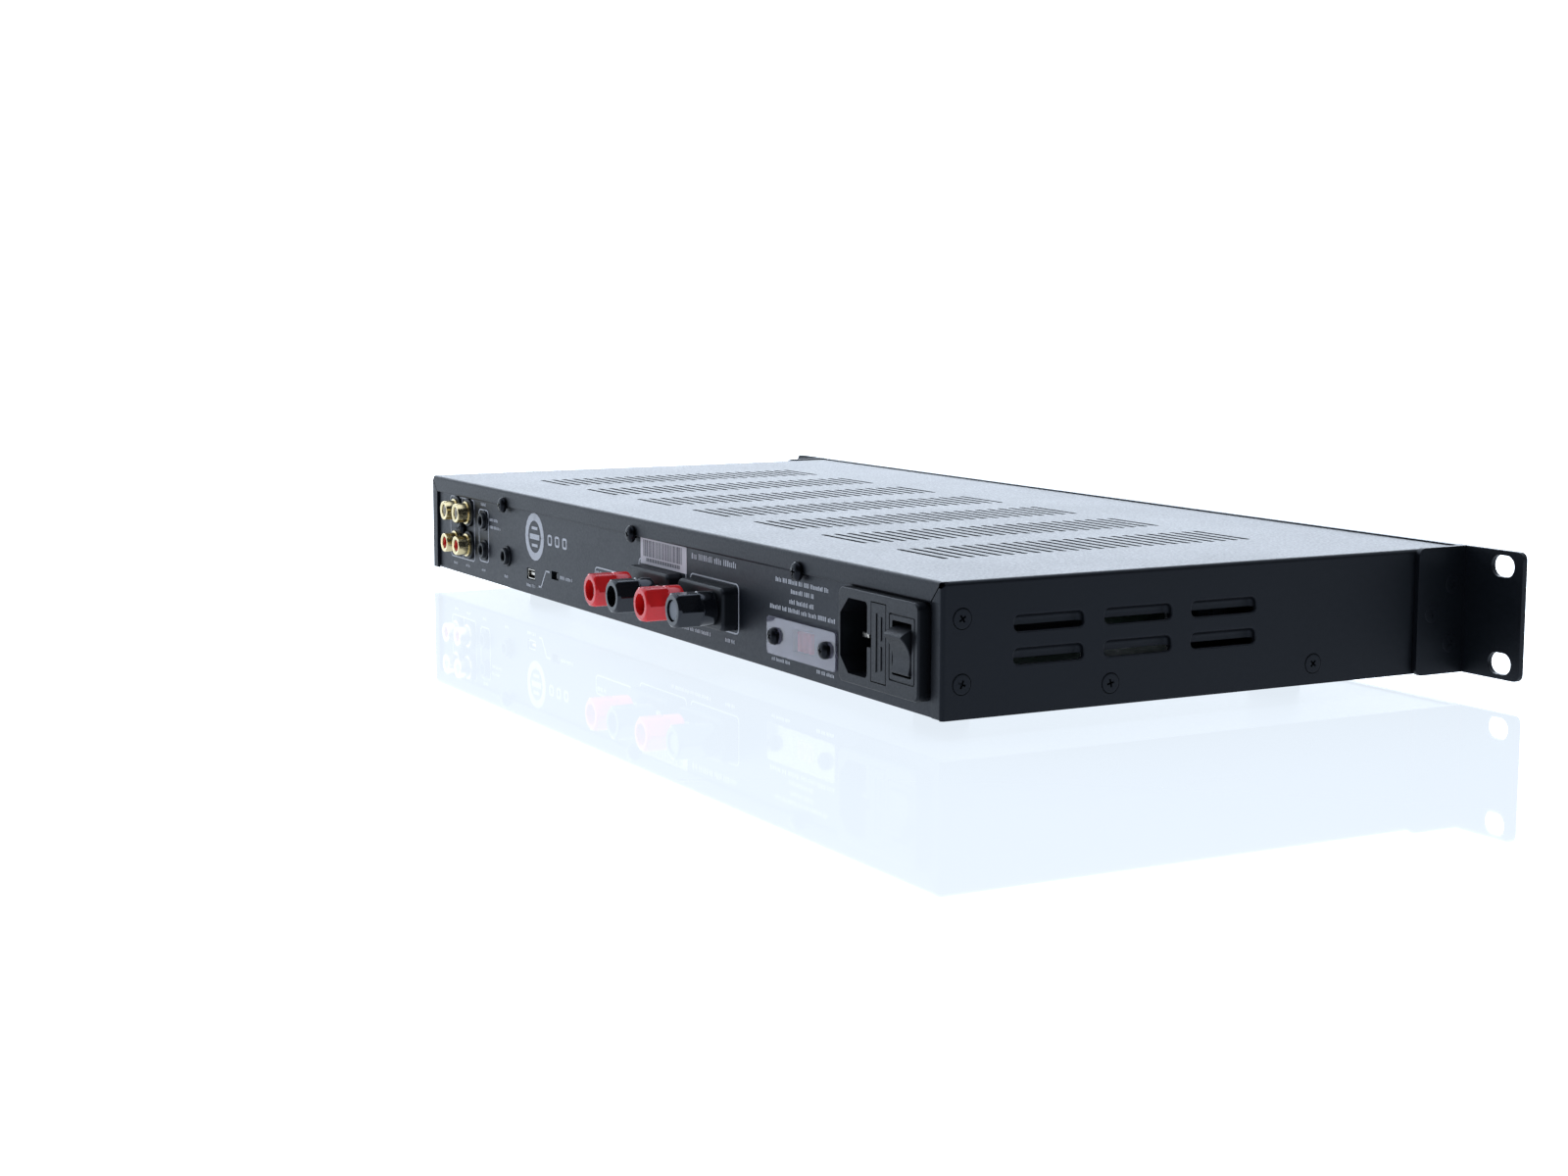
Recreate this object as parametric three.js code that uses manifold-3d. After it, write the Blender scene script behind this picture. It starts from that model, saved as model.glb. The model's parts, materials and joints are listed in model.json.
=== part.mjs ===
// Rack-mount power amplifier, one rack unit high, seen as it comes apart on a bench.
// Case frame: x across the case, y back from the face of the front panel, z up from
// the underside of the case. Millimetres. The exported group stands on its feet at z = 0.
import * as THREE from 'three';
import { mergeGeometries, mergeVertices } from 'three/addons/utils/BufferGeometryUtils.js';
import Module from 'manifold-3d';

const wasm = await Module();
wasm.setup();

// Case
const CASE_W = 428;
const CASE_D = 203;
const CASE_H = 41;
const SHEET = 1.2;
const GAP = 0.1;
const TURN_GAP = 0.3;
const PANEL_T = 3;
const PANEL_OVERHANG = 0.5;
const FLANGE_H = 6.5;
const LIP_W = 5.8;
const HALF_W = CASE_W / 2;
const TRAY_X = HALF_W - SHEET - 0.2;
const TRAY_TOP = CASE_H - SHEET - 0.2;
const REAR = CASE_D - SHEET - GAP;
const INNER_REAR = REAR - SHEET;
const SUB_PANEL = PANEL_T + GAP;

// Vents in the cover
const SLOT_GROUPS = 7;
const SLOT_GROUP_PITCH = 50;
const SLOTS_PER_GROUP = 25;
const SLOT_PITCH = 5;
const SLOT_L = 30;
const SLOT_W = 2;
const SLOTS_MID_Y = 110.5;
const LOUVRE_L = 25;
const LOUVRE_H = 4.8;
const LOUVRE_IN = 2.4;
const LOUVRE_GAP = 1.7;
const LOUVRE_YS = [165.3, 132.6, 99.9];
const LOUVRE_ZS = [24.8, 14.9];

// Rack ears, to the 19 inch rack standard
const RACK_W = 482.6;
const EAR_H = 42;
const EAR_T = 2;
const EAR_FLANGE = 22;
const EAR_R = 2.5;
const SLOT_PITCH_X = 465.1;
const SLOT_PITCH_Z = 31.75;
const EAR_SLOT_L = 10;
const EAR_SLOT_W = 7;

// Feet
const FOOT_H = 6;
const FOOT_R = 9;
const FOOT_X = 160;
const FOOT_YS = [34, 169];

// Rear panel fittings, x across and z up at the middle of each
const RCA = { x: 178, z: 20.8, pitch: 14 };
const JACKS = [
  { name: 'trigger_jack_upper', x: 153, z: 25.9 },
  { name: 'trigger_jack_lower', x: 153, z: 13.4 },
  { name: 'control_jack', x: 127.7, z: 13.4 },
];
const USB = { x: 102, z: 8.6, w: 7.7, h: 3.9 };
const UPDATE = { x: 76.9, z: 10.7, w: 7, h: 3.3, travel: 3 };
const TERMINALS = { z: 16.7, pitch: 19.05, pairs: [-21.6, -64.6], w: 35, h: 15, t: 5.8 };
const SELECTOR = { x: -129.4, z: 11.8, w: 14.5, h: 7.4 };
const SELECTOR_PLATE = { w: 46, h: 12.6, t: 0.8, off: 1, screws: 34 };
const INLET = { x: -182.3, z: 19.2, w: 47.4, h: 29.6, proud: 4.4, depth: 23 };
const SOCKET = { x: -168.2, w: 16.4, h: 23.4, chamfer: 5, depth: 17.4 };
const DRAWER = { x: -183.1, w: 8.3, h: 24, depth: 20 };
const ROCKER = { x: -196.7, w: 10.2, pivot: 4, tilt: 14 };
const COVER_SCREWS = { xs: [127.5, 0, -127.5], z: 34.8 };

// Binding posts
const POST_R = 2.9;
const CAP_AF = 11.4;
const CAP_L = 15;
const CAP_HEX_L = 9;
const CAP_OPEN = 3;
const CAP_BORE = 3.8;
const INSERT_R = 4.4;
const CAP_REACH = TERMINALS.t + GAP + CAP_OPEN + CAP_L;

// Front controls
const KNOB = { x: 150, r: 9.5, l: 13, off: 1 };
const BUTTON = { x: -188, r: 6, proud: 1.6 };
const WINDOW = { x: 60, w: 76, h: 20 };
const FRONT_Z = CASE_H / 2;
const CONTROL_BOARD_Y = 11.1;

// Boards
const BOARD_T = 1.6;
const BOARD_Z = 4.8;
const BOARDS = [
  { name: 'power_board', x0: -206, x1: -86, y0: 30, y1: 166 },
  { name: 'amplifier_board', x0: -76, x1: 76, y0: 40, y1: 176 },
  { name: 'input_board', x0: 84, x1: 204, y0: 120, y1: 196 },
];

// Finishes
function finish(color, roughness, metalness) {
  return new THREE.MeshStandardMaterial({ color, roughness, metalness });
}

const BLACK_COAT = finish(0x1c1f24, 0.45, 0.3);
const REAR_COAT = finish(0x2b2f36, 0.5, 0.3);
const BLACK_ANODISED = finish(0x17191c, 0.4, 0.6);
const RUBBER = finish(0x101010, 0.9, 0);
const BLACK_STEEL = finish(0x14161a, 0.35, 0.7);
const BLACK_PLASTIC = finish(0x16181b, 0.5, 0);
const GOLD = finish(0xd8a84a, 0.25, 1);
const NICKEL = finish(0xb8b6b0, 0.3, 1);
const BRASS = finish(0xb5954f, 0.35, 1);
const RED_GLOSS = finish(0xc01f1c, 0.15, 0);
const BLACK_GLOSS = finish(0x0d0f12, 0.15, 0);
const GREY_PLASTIC = finish(0x7b8088, 0.5, 0);
const RED_PLASTIC = finish(0xb52a35, 0.5, 0);
const CLEAR_PLASTIC = finish(0xc9c6dc, 0.2, 0);
const GLASS = finish(0x0b0d12, 0.08, 0);
const BOARD_GREEN = finish(0x1f4a33, 0.5, 0);
const ALUMINIUM = finish(0xa8abb0, 0.4, 1);
const FERRITE = finish(0x34343a, 0.8, 0);
const SLEEVE = finish(0x23303f, 0.4, 0);

// Solids
const X = new THREE.Vector3(1, 0, 0);
const Y = new THREE.Vector3(0, 1, 0);
const Z = new THREE.Vector3(0, 0, 1);
const BACK_FROM_FACE = new THREE.Matrix4().makeBasis(X, Z, Y.clone().negate());
const ACROSS_FROM_SIDE = new THREE.Matrix4().makeBasis(Y, Z, X);

function toSolid(geometry) {
  const bare = geometry.index ? geometry.toNonIndexed() : geometry.clone();
  bare.deleteAttribute('normal');
  bare.deleteAttribute('uv');
  const merged = mergeVertices(bare, 1e-4);
  const mesh = new wasm.Mesh({
    numProp: 3,
    vertProperties: Float32Array.from(merged.attributes.position.array),
    triVerts: Uint32Array.from(merged.index.array),
  });
  return new wasm.Manifold(mesh);
}

function toGeometry(solid) {
  const mesh = solid.getMesh();
  const geometry = new THREE.BufferGeometry();
  geometry.setAttribute('position', new THREE.BufferAttribute(mesh.vertProperties, 3));
  geometry.setIndex(new THREE.BufferAttribute(mesh.triVerts, 1));
  geometry.computeVertexNormals();
  return geometry;
}

function join(...solids) {
  return solids.reduce((whole, solid) => whole.add(solid));
}

function cut(whole, ...tools) {
  return tools.reduce((left, tool) => left.subtract(tool), whole);
}

function block(x0, x1, y0, y1, z0, z1) {
  const box = new THREE.BoxGeometry(x1 - x0, y1 - y0, z1 - z0);
  box.translate((x0 + x1) / 2, (y0 + y1) / 2, (z0 + z1) / 2);
  return toSolid(box);
}

// A plate cut from a flat outline: matrix turns the outline's plane, from and to bound it.
function plate(shape, matrix, from, to, curveSegments = 3) {
  const options = { depth: to - from, bevelEnabled: false, curveSegments };
  const geometry = new THREE.ExtrudeGeometry(shape, options);
  geometry.translate(0, 0, matrix === BACK_FROM_FACE ? -to : from);
  geometry.applyMatrix4(matrix);
  return toSolid(geometry);
}

// A turned piece about the y axis: profile is [radius, y] from the axis round to the axis.
function turned(profile, sides = 16, x = 0, z = 0) {
  const points = profile.map(([r, y]) => new THREE.Vector2(r, y));
  const lathe = new THREE.LatheGeometry(points, sides);
  lathe.translate(x, 0, z);
  return toSolid(lathe);
}

function rod(r, y0, y1, sides = 16, x = 0, z = 0) {
  return turned([[0, y0], [r, y0], [r, y1], [0, y1]], sides, x, z);
}

function polygon(points) {
  return new THREE.Shape(points.map(([x, y]) => new THREE.Vector2(x, y)));
}

function roundOutline(x0, x1, y0, y1, r) {
  const path = new THREE.Shape();
  path.absarc(x1 - r, y1 - r, r, 0, Math.PI / 2, false);
  path.absarc(x0 + r, y1 - r, r, Math.PI / 2, Math.PI, false);
  path.absarc(x0 + r, y0 + r, r, Math.PI, Math.PI * 1.5, false);
  path.absarc(x1 - r, y0 + r, r, Math.PI * 1.5, Math.PI * 2, false);
  path.closePath();
  return path;
}

const amplifier = new THREE.Group();

function piece(name, solid, material, parent = amplifier) {
  const mesh = new THREE.Mesh(toGeometry(solid), material);
  mesh.name = name;
  parent.add(mesh);
  return mesh;
}

function placed(name, solid, material, x, y, z) {
  const mesh = piece(name, solid, material);
  mesh.position.set(x, y, z);
  return mesh;
}

// Cover: top, both sides, rear flange and rear lips folded from one sheet
function ventPunch() {
  const punches = [];
  for (let group = 0; group < SLOT_GROUPS; group += 1) {
    const x = (group - (SLOT_GROUPS - 1) / 2) * SLOT_GROUP_PITCH;
    for (let slot = 0; slot < SLOTS_PER_GROUP; slot += 1) {
      const y = SLOTS_MID_Y + (slot - (SLOTS_PER_GROUP - 1) / 2) * SLOT_PITCH;
      const punch = new THREE.BoxGeometry(SLOT_L, SLOT_W, 3 * SHEET);
      punch.translate(x, y, CASE_H - SHEET / 2);
      punches.push(punch);
    }
  }
  return toSolid(mergeGeometries(punches));
}

// One louvre: a strip pressed inwards from its upper edge, closed at both ends, open below.
function louvre(side, y, z) {
  const at = (depth) => side * (HALF_W - depth);
  const back = LOUVRE_IN + SHEET;
  const top = z + LOUVRE_H;
  const lip = z + LOUVRE_GAP;
  const strip = [
    [0, top + 0.5], [0, top], [LOUVRE_IN, top - 2], [LOUVRE_IN, lip],
    [back, lip], [back, top - 1.5], [SHEET + 0.4, top + 0.5],
  ];
  const end = [[0.6, top + 0.3], [back, top - 1.5], [back, lip], [0.6, lip]];
  const press = (points, y0, y1) => {
    const flat = points.map(([depth, up]) => [at(depth), up]);
    return plate(polygon(side > 0 ? flat : flat.reverse()), BACK_FROM_FACE, y0, y1);
  };
  const y0 = y - LOUVRE_L / 2;
  const y1 = y + LOUVRE_L / 2;
  return join(press(strip, y0, y1), press(end, y0 - 0.6, y0 + 0.6), press(end, y1 - 0.6, y1 + 0.6));
}

function coverSide(side) {
  const from = side > 0 ? HALF_W - SHEET : -HALF_W;
  let wall = block(from, from + SHEET, SUB_PANEL, CASE_D, 0, CASE_H);
  for (const y of LOUVRE_YS) {
    for (const z of LOUVRE_ZS) {
      const y0 = y - LOUVRE_L / 2;
      wall = wall.subtract(block(from - 1, from + SHEET + 1, y0, y0 + LOUVRE_L, z, z + LOUVRE_H));
      wall = wall.add(louvre(side, y, z));
    }
  }
  return wall;
}

function topCover() {
  const top = block(-HALF_W, HALF_W, SUB_PANEL, CASE_D, CASE_H - SHEET, CASE_H);
  const inner = HALF_W - LIP_W;
  const flangeBottom = CASE_H - FLANGE_H;
  const mitre = CASE_H - SHEET / 2;
  const flange = polygon([
    [-inner - 0.6, flangeBottom], [inner + 0.6, flangeBottom],
    [HALF_W - 0.8, mitre], [-HALF_W + 0.8, mitre],
  ]);
  const notches = COVER_SCREWS.xs.map((x) => {
    return block(x - 1.8, x + 1.8, REAR, CASE_D + 1, flangeBottom - 1, COVER_SCREWS.z + 1.8);
  });
  const edge = HALF_W - GAP;
  const lip = polygon([[inner, 0], [edge, 0], [edge, CASE_H - 2.6], [inner, flangeBottom - 1.4]]);
  const otherLip = polygon([[-inner, 0], [-inner, flangeBottom - 1.4], [-edge, CASE_H - 2.6], [-edge, 0]]);
  const back = (shape) => plate(shape, BACK_FROM_FACE, CASE_D - SHEET, CASE_D);
  return cut(
    join(cut(top, ventPunch()), coverSide(-1), coverSide(1),
      back(flange), back(lip), back(otherLip)),
    ...notches,
  );
}

// Tray: base, rear panel, front sub-panel and inner side flanges folded from one sheet
function window(x, z, w, h, y0, y1) {
  return block(x - w / 2, x + w / 2, y0, y1, z - h / 2, z + h / 2);
}

function rearPanelPunches() {
  const y0 = INNER_REAR - 1;
  const y1 = REAR + 1;
  return [
    ...rcaPlaces().map(([x, z]) => rod(5.8, y0, y1, 12, x, z)),
    ...JACKS.map(({ x, z }) => rod(3.8, y0, y1, 12, x, z)),
    window(USB.x, USB.z, USB.w + 0.6, USB.h + 0.6, y0, y1),
    window(UPDATE.x, UPDATE.z, UPDATE.w, UPDATE.h, y0, y1),
    ...terminalPlaces().map(({ x }) => rod(POST_R + TURN_GAP, y0, y1, 12, x, TERMINALS.z)),
    window(SELECTOR.x, SELECTOR.z, SELECTOR.w, SELECTOR.h, y0, y1),
    window(INLET.x, INLET.z, INLET.w - 1, INLET.h - 2.2, y0, y1),
    ...COVER_SCREWS.xs.map((x) => rod(1.7, y0, y1, 10, x, COVER_SCREWS.z)),
  ];
}

function chassisTray() {
  const back = cut(block(-TRAY_X, TRAY_X, INNER_REAR, REAR, 0, TRAY_TOP), ...rearPanelPunches());
  const front = cut(
    block(-TRAY_X, TRAY_X, SUB_PANEL, SUB_PANEL + SHEET, 0, TRAY_TOP),
    window(WINDOW.x, FRONT_Z, WINDOW.w, WINDOW.h, 0, 9),
    rod(4.6, 0, 9, 12, KNOB.x, FRONT_Z),
    rod(4, 0, 9, 12, BUTTON.x, FRONT_Z),
  );
  const sides = [-1, 1].map((side) => {
    const x0 = side > 0 ? TRAY_X - SHEET : -TRAY_X;
    const flange = polygon([[SUB_PANEL, 0], [REAR, 0], [REAR, TRAY_TOP - 2], [REAR - 16, TRAY_TOP - 2],
      [REAR - 16, 12], [SUB_PANEL, 12]]);
    return plate(flange, ACROSS_FROM_SIDE, x0, x0 + SHEET);
  });
  const studs = BOARDS.flatMap(({ x0, x1, y0, y1 }) => {
    const corners = [[x0 + 6, y0 + 6], [x1 - 6, y0 + 6], [x0 + 6, y1 - 6], [x1 - 6, y1 - 6]];
    return corners.map(([x, y]) => standoff(x, y));
  });
  return join(
    block(-TRAY_X, TRAY_X, SUB_PANEL, REAR, 0, SHEET),
    back,
    front,
    ...sides,
    ...studs,
  );
}

function standoff(x, y) {
  const stud = new THREE.CylinderGeometry(3, 3, BOARD_Z - GAP - SHEET / 2, 6);
  stud.rotateX(Math.PI / 2);
  stud.translate(x, y, (BOARD_Z - GAP + SHEET / 2) / 2);
  return toSolid(stud);
}

function frontPanel() {
  const half = HALF_W - GAP / 2;
  return cut(
    block(-half, half, 0, PANEL_T, -PANEL_OVERHANG, CASE_H + PANEL_OVERHANG),
    window(WINDOW.x, FRONT_Z, WINDOW.w, WINDOW.h, -1, 9),
    rod(4, -1, 9, 12, KNOB.x, FRONT_Z),
    rod(BUTTON.r + TURN_GAP, -1, 9, 20, BUTTON.x, FRONT_Z),
  );
}

// Rack ears: a folded bracket, its flange along the side of the case
function rackEar(side) {
  const inner = HALF_W + GAP;
  const outer = RACK_W / 2;
  const bottom = CASE_H / 2 - EAR_H / 2;
  const top = bottom + EAR_H;
  const face = roundOutline(inner - 6, outer, bottom, top, EAR_R);
  for (const end of [-1, 1]) {
    const z = CASE_H / 2 + end * SLOT_PITCH_Z / 2;
    const x = SLOT_PITCH_X / 2;
    const half = (EAR_SLOT_L - EAR_SLOT_W) / 2;
    const slot = new THREE.Path();
    slot.absarc(x + half, z, EAR_SLOT_W / 2, -Math.PI / 2, Math.PI / 2, false);
    slot.absarc(x - half, z, EAR_SLOT_W / 2, Math.PI / 2, Math.PI * 1.5, false);
    slot.closePath();
    face.holes.push(slot);
  }
  const flange = roundOutline(0.5, EAR_FLANGE, bottom, top, EAR_R);
  const bracket = join(
    cut(plate(face, BACK_FROM_FACE, 0, EAR_T), block(inner - 10, inner, -1, 5, bottom - 1, top + 1)),
    block(inner, inner + EAR_T, 0, EAR_FLANGE / 2, bottom, top),
    plate(flange, ACROSS_FROM_SIDE, inner, inner + EAR_T),
  );
  return side > 0 ? bracket : bracket.mirror([1, 0, 0]);
}

function foot() {
  const profile = [[0, -1.5], [3, -1.5], [3, -FOOT_H], [FOOT_R - 1.2, -FOOT_H], [FOOT_R, -0.05], [0, -0.05]];
  const points = profile.map(([r, z]) => new THREE.Vector2(r, z));
  const lathe = new THREE.LatheGeometry(points, 20);
  lathe.rotateX(Math.PI / 2);
  return toSolid(lathe);
}

function coverScrew() {
  return turned([[0, -7], [1.4, -7], [1.4, 0.05], [3.3, 0.05], [3.2, 1.4], [2.2, 2.3], [0, 2.3]], 14);
}

// Phono sockets: one moulded block behind the panel, four plated shells
function rcaPlaces() {
  return [[1, 1], [-1, 1], [1, -1], [-1, -1]].map(([i, j]) => {
    return [RCA.x + i * RCA.pitch / 2, RCA.z + j * RCA.pitch / 2];
  });
}

const SHELL_R = 4.15;
const SHELL_BORE = 3.2;
const SHELL_REACH = 6.8;

function rcaHousing() {
  const back = INNER_REAR - GAP;
  let body = block(RCA.x - 14.5, RCA.x + 14.5, back - 13, back, BOARD_Z + BOARD_T + GAP, RCA.z + 14.5);
  for (const [x, z] of rcaPlaces()) {
    body = body.add(rod(5.3, back - 1, REAR + 1.2, 12, x, z));
    body = body.subtract(rod(SHELL_R + 2 * GAP, back - 9, REAR + 2, 12, x, z));
    body = body.add(rod(SHELL_BORE - 2 * GAP, back - 10, REAR + SHELL_REACH - 1, 12, x, z));
    body = body.subtract(rod(1.6, back - 8, REAR + SHELL_REACH, 8, x, z));
  }
  return body;
}

function rcaShell() {
  const back = -SHEET - GAP - 8.8;
  return turned([
    [SHELL_BORE, back], [SHELL_R, back], [SHELL_R, SHELL_REACH - 0.4],
    [SHELL_R - 0.4, SHELL_REACH], [SHELL_BORE, SHELL_REACH], [SHELL_BORE, back],
  ], 12);
}

function miniJack() {
  const back = -SHEET - GAP;
  const body = block(-4.5, 4.5, back - 12, back, -4.4, 4.4);
  const bush = turned([[0, back - 1], [3.5, back - 1], [3.5, 1.8], [3, 2.2], [0, 2.2]], 16);
  return cut(join(body, bush), rod(1.8, -9, 3, 10));
}

function usbSocket() {
  const shell = block(-USB.w / 2, USB.w / 2, -9, -0.3, -USB.h / 2, USB.h / 2);
  const mouth = block(-USB.w / 2 + 0.4, USB.w / 2 - 0.4, -6, 0, -USB.h / 2 + 0.4, USB.h / 2 - 0.4);
  const tongue = block(-2.4, 2.4, -6.5, -1, -0.5, 0.7);
  return join(cut(shell, mouth), tongue);
}

function updateSwitchBody() {
  const back = -SHEET - GAP;
  const body = block(-6, 6, back - 5, back, -2.9, 2.9);
  return cut(body, window(0, 0, UPDATE.w, UPDATE.h, back - 3.2, back + 1));
}

function updateSwitchSlider() {
  const half = (UPDATE.w - UPDATE.travel) / 2 - TURN_GAP;
  const back = -SHEET - GAP;
  return join(
    block(-half, half, back - 2.9, back, -1.2, 1.2),
    block(-1, 1, back - 0.5, -0.5, -1.2, 1.2),
  );
}

// Loudspeaker binding posts
function terminalPlaces() {
  const places = [];
  TERMINALS.pairs.forEach((middle, pair) => {
    for (const end of [1, -1]) {
      const closed = pair === 1 && end < 0;
      places.push({ x: middle + end * TERMINALS.pitch / 2, red: end > 0, open: closed ? 0 : CAP_OPEN });
    }
  });
  return places;
}

function terminalBase() {
  const shape = roundOutline(-TERMINALS.w / 2, TERMINALS.w / 2, -TERMINALS.h / 2, TERMINALS.h / 2, 2.5);
  const bores = [-1, 1].map((end) => rod(POST_R + TURN_GAP, -1, 9, 12, end * TERMINALS.pitch / 2));
  return cut(plate(shape, BACK_FROM_FACE, GAP / 2, TERMINALS.t), ...bores);
}

// Threaded post with a banana bore at its outer end, a fixing nut and a solder tail inside.
function terminalPost() {
  const tip = TERMINALS.t + GAP + CAP_L - 3.5;
  return turned([
    [0, -14], [1.2, -14], [1.2, -6.5], [5, -6.5], [5, -2.2], [POST_R, -2.2], [POST_R, tip - 0.5],
    [POST_R - 0.5, tip], [2.05, tip], [2.05, tip - 12], [0, tip - 12],
  ], 12);
}

function terminalInsert() {
  const bore = POST_R + TURN_GAP / 2;
  return turned([[bore, 0.6], [INSERT_R, 0.6], [INSERT_R, 8.6], [bore, 8.6], [bore, 0.6]], 12);
}

// Cap, 0 at its back face: round skirt, then a hexagon with a coned nose, bored right through.
function terminalCap() {
  const corner = CAP_AF / Math.sqrt(3);
  const hex = new THREE.CylinderGeometry(corner, corner, CAP_HEX_L, 6);
  hex.translate(0, CAP_L - CAP_HEX_L / 2, 0);
  const nose = turned([
    [0, 0], [corner + 1, 0], [corner + 1, CAP_L - 1.5], [corner - 1.3, CAP_L], [0, CAP_L],
  ], 12);
  const skirt = rod(6, 0, CAP_L - CAP_HEX_L + 0.2, 12);
  const hollow = turned([
    [0, -1], [INSERT_R + TURN_GAP, -1], [INSERT_R + TURN_GAP, 8.9],
    [CAP_BORE, 8.9], [CAP_BORE, CAP_L + 1], [0, CAP_L + 1],
  ], 12);
  return cut(join(toSolid(hex).intersect(nose), skirt), hollow);
}

function terminalPlug() {
  const y = TERMINALS.t + GAP + CAP_L;
  return turned([
    [0, y - 12], [1.8, y - 12], [1.8, y - 3.3], [3.5, y - 3.3], [3.5, y - 0.6], [0, y - 0.6],
  ], 12);
}

// Mains inlet, fuse drawer and power rocker in one moulded module
function socketOutline() {
  const w = SOCKET.w / 2;
  const h = SOCKET.h / 2;
  const c = SOCKET.chamfer;
  return polygon([[-w, -h], [w - c, -h], [w, -h + c], [w, h - c], [w - c, h], [-w, h]]
    .map(([x, z]) => [SOCKET.x + x, INLET.z + z]));
}

function inletPins() {
  return [[2, 0], [-2, 7], [-2, -7]].map(([x, z]) => [SOCKET.x + x, INLET.z + z]);
}

function inletHousing() {
  const face = REAR + INLET.proud;
  const w = INLET.w / 2;
  const h = INLET.h / 2;
  const bezel = roundOutline(INLET.x - w, INLET.x + w, INLET.z - h, INLET.z + h, 2.5);
  const rockerX = ROCKER.w / 2 + 0.4;
  const rockerPins = new THREE.CylinderGeometry(1.5, 1.5, 2 * rockerX + 2, 8);
  rockerPins.rotateZ(Math.PI / 2);
  rockerPins.translate(ROCKER.x, face - ROCKER.pivot, INLET.z);
  return cut(
    join(
      plate(bezel, BACK_FROM_FACE, REAR + GAP / 2, face),
      window(INLET.x, INLET.z, INLET.w - 1.2, INLET.h - 2.8, REAR - INLET.depth, REAR + 1),
    ),
    plate(socketOutline(), BACK_FROM_FACE, face - SOCKET.depth, face + 1),
    ...inletPins().map(([x, z]) => block(x - 2.1, x + 2.1, REAR - 40, REAR, z - 1.1, z + 1.1)),
    window(DRAWER.x, INLET.z, DRAWER.w + 2 * TURN_GAP, DRAWER.h + 2 * TURN_GAP,
      REAR - DRAWER.depth - 1, face + 1),
    window(ROCKER.x, INLET.z, 2 * rockerX, 16.4, REAR - 17, face + 1),
    toSolid(rockerPins),
  );
}

function fuseDrawer() {
  const face = REAR + INLET.proud;
  const front = window(DRAWER.x, INLET.z, DRAWER.w, DRAWER.h, face - 2.5, face);
  const body = window(DRAWER.x, INLET.z, DRAWER.w - 1, DRAWER.h - 0.8, REAR - DRAWER.depth, face - 2);
  const pocket = window(DRAWER.x - 2, INLET.z, 9.8, 20.8, REAR - 14.9, REAR - 9.1);
  return cut(join(front, body), pocket);
}

function fuse() {
  const tube = new THREE.LatheGeometry([
    [0, -10], [2.55, -10], [2.55, -4.5], [2.3, -4.5], [2.3, 4.5], [2.55, 4.5], [2.55, 10], [0, 10],
  ].map(([r, z]) => new THREE.Vector2(r, z)), 12);
  tube.rotateX(Math.PI / 2);
  return toSolid(tube);
}

// Rocker about its pivot: two ridges with a hollow face between them.
function powerRocker() {
  const side = new THREE.Shape();
  side.moveTo(-9, -3);
  side.lineTo(-9, 3);
  side.lineTo(-3, 7.1);
  side.lineTo(3.4, 7.1);
  side.lineTo(6.3, 5.7);
  side.quadraticCurveTo(2.7, 0, 6.3, -5.7);
  side.lineTo(3.4, -7.1);
  side.lineTo(-3, -7.1);
  side.closePath();
  const flip = side.getPoints(7).reverse();
  const body = plate(new THREE.Shape(flip), ACROSS_FROM_SIDE, -ROCKER.w / 2, ROCKER.w / 2);
  const pins = new THREE.CylinderGeometry(1.2, 1.2, ROCKER.w + 1.6, 8);
  pins.rotateZ(Math.PI / 2);
  return join(body, toSolid(pins));
}

// Mains voltage selector: a slide switch behind the panel under a clear locking plate
function selectorBody() {
  const back = -SHEET - GAP;
  const body = block(-18, 18, back - 10, back, -7.5, 7.5);
  return cut(body, window(0, 0, SELECTOR.w, SELECTOR.h, back - 5, back + 1));
}

const SELECTOR_SLIDE_W = 11;
const SELECTOR_TRAVEL = 2.6;

function selectorSlider() {
  const back = -SHEET - GAP;
  const half = SELECTOR_SLIDE_W / 2;
  const ribs = [-3.8, 0, 3.8].map((x) => block(x - 0.8, x + 0.8, -1, 0.3, -3.2, 3.2));
  return join(block(-half, half, back - 4.7, -0.6, -3.3, 3.3), ...ribs);
}

function selectorCover() {
  const { w, h, t, off, screws } = SELECTOR_PLATE;
  const shape = roundOutline(-w / 2, w / 2, -h / 2, h / 2, 1.5);
  const collars = [-1, 1].map((end) => rod(2.6, GAP / 2, off + t / 2, 12, end * screws / 2));
  const bores = [-1, 1].map((end) => rod(1.6, -1, off + t + 1, 10, end * screws / 2));
  return cut(join(plate(shape, BACK_FROM_FACE, off, off + t), ...collars), ...bores);
}

// Front controls
function menuKnob() {
  const face = -KNOB.off;
  const end = face - KNOB.l;
  const body = turned([[0, end], [KNOB.r - 1, end], [KNOB.r, end + 1], [KNOB.r, face], [0, face]], 24);
  return cut(body, rod(3.3, end + 3, face + 1, 12));
}

function encoder() {
  const back = SUB_PANEL + SHEET + GAP;
  return join(
    block(-6, 6, back, back + 6.5, -6, 6),
    rod(3.4, -KNOB.off + 0.5, back + 1, 12),
    rod(3, -KNOB.off - KNOB.l + 3.4, back, 12),
  );
}

function powerButton() {
  const r = BUTTON.r;
  return turned([
    [0, -BUTTON.proud], [r - 0.5, -BUTTON.proud], [r, -BUTTON.proud + 0.5], [r, PANEL_T - 1.5],
    [3.6, PANEL_T - 1.5], [3.6, 6.4], [0, 6.4],
  ], 20);
}

function displayWindow() {
  return block(-WINDOW.w / 2 + GAP, WINDOW.w / 2 - GAP, 0.4, 6.4, -WINDOW.h / 2 + GAP, WINDOW.h / 2 - GAP);
}

// Inside
function circuitBoard({ x0, x1, y0, y1 }) {
  return block(x0, x1, y0, y1, BOARD_Z, BOARD_Z + BOARD_T);
}

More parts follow.
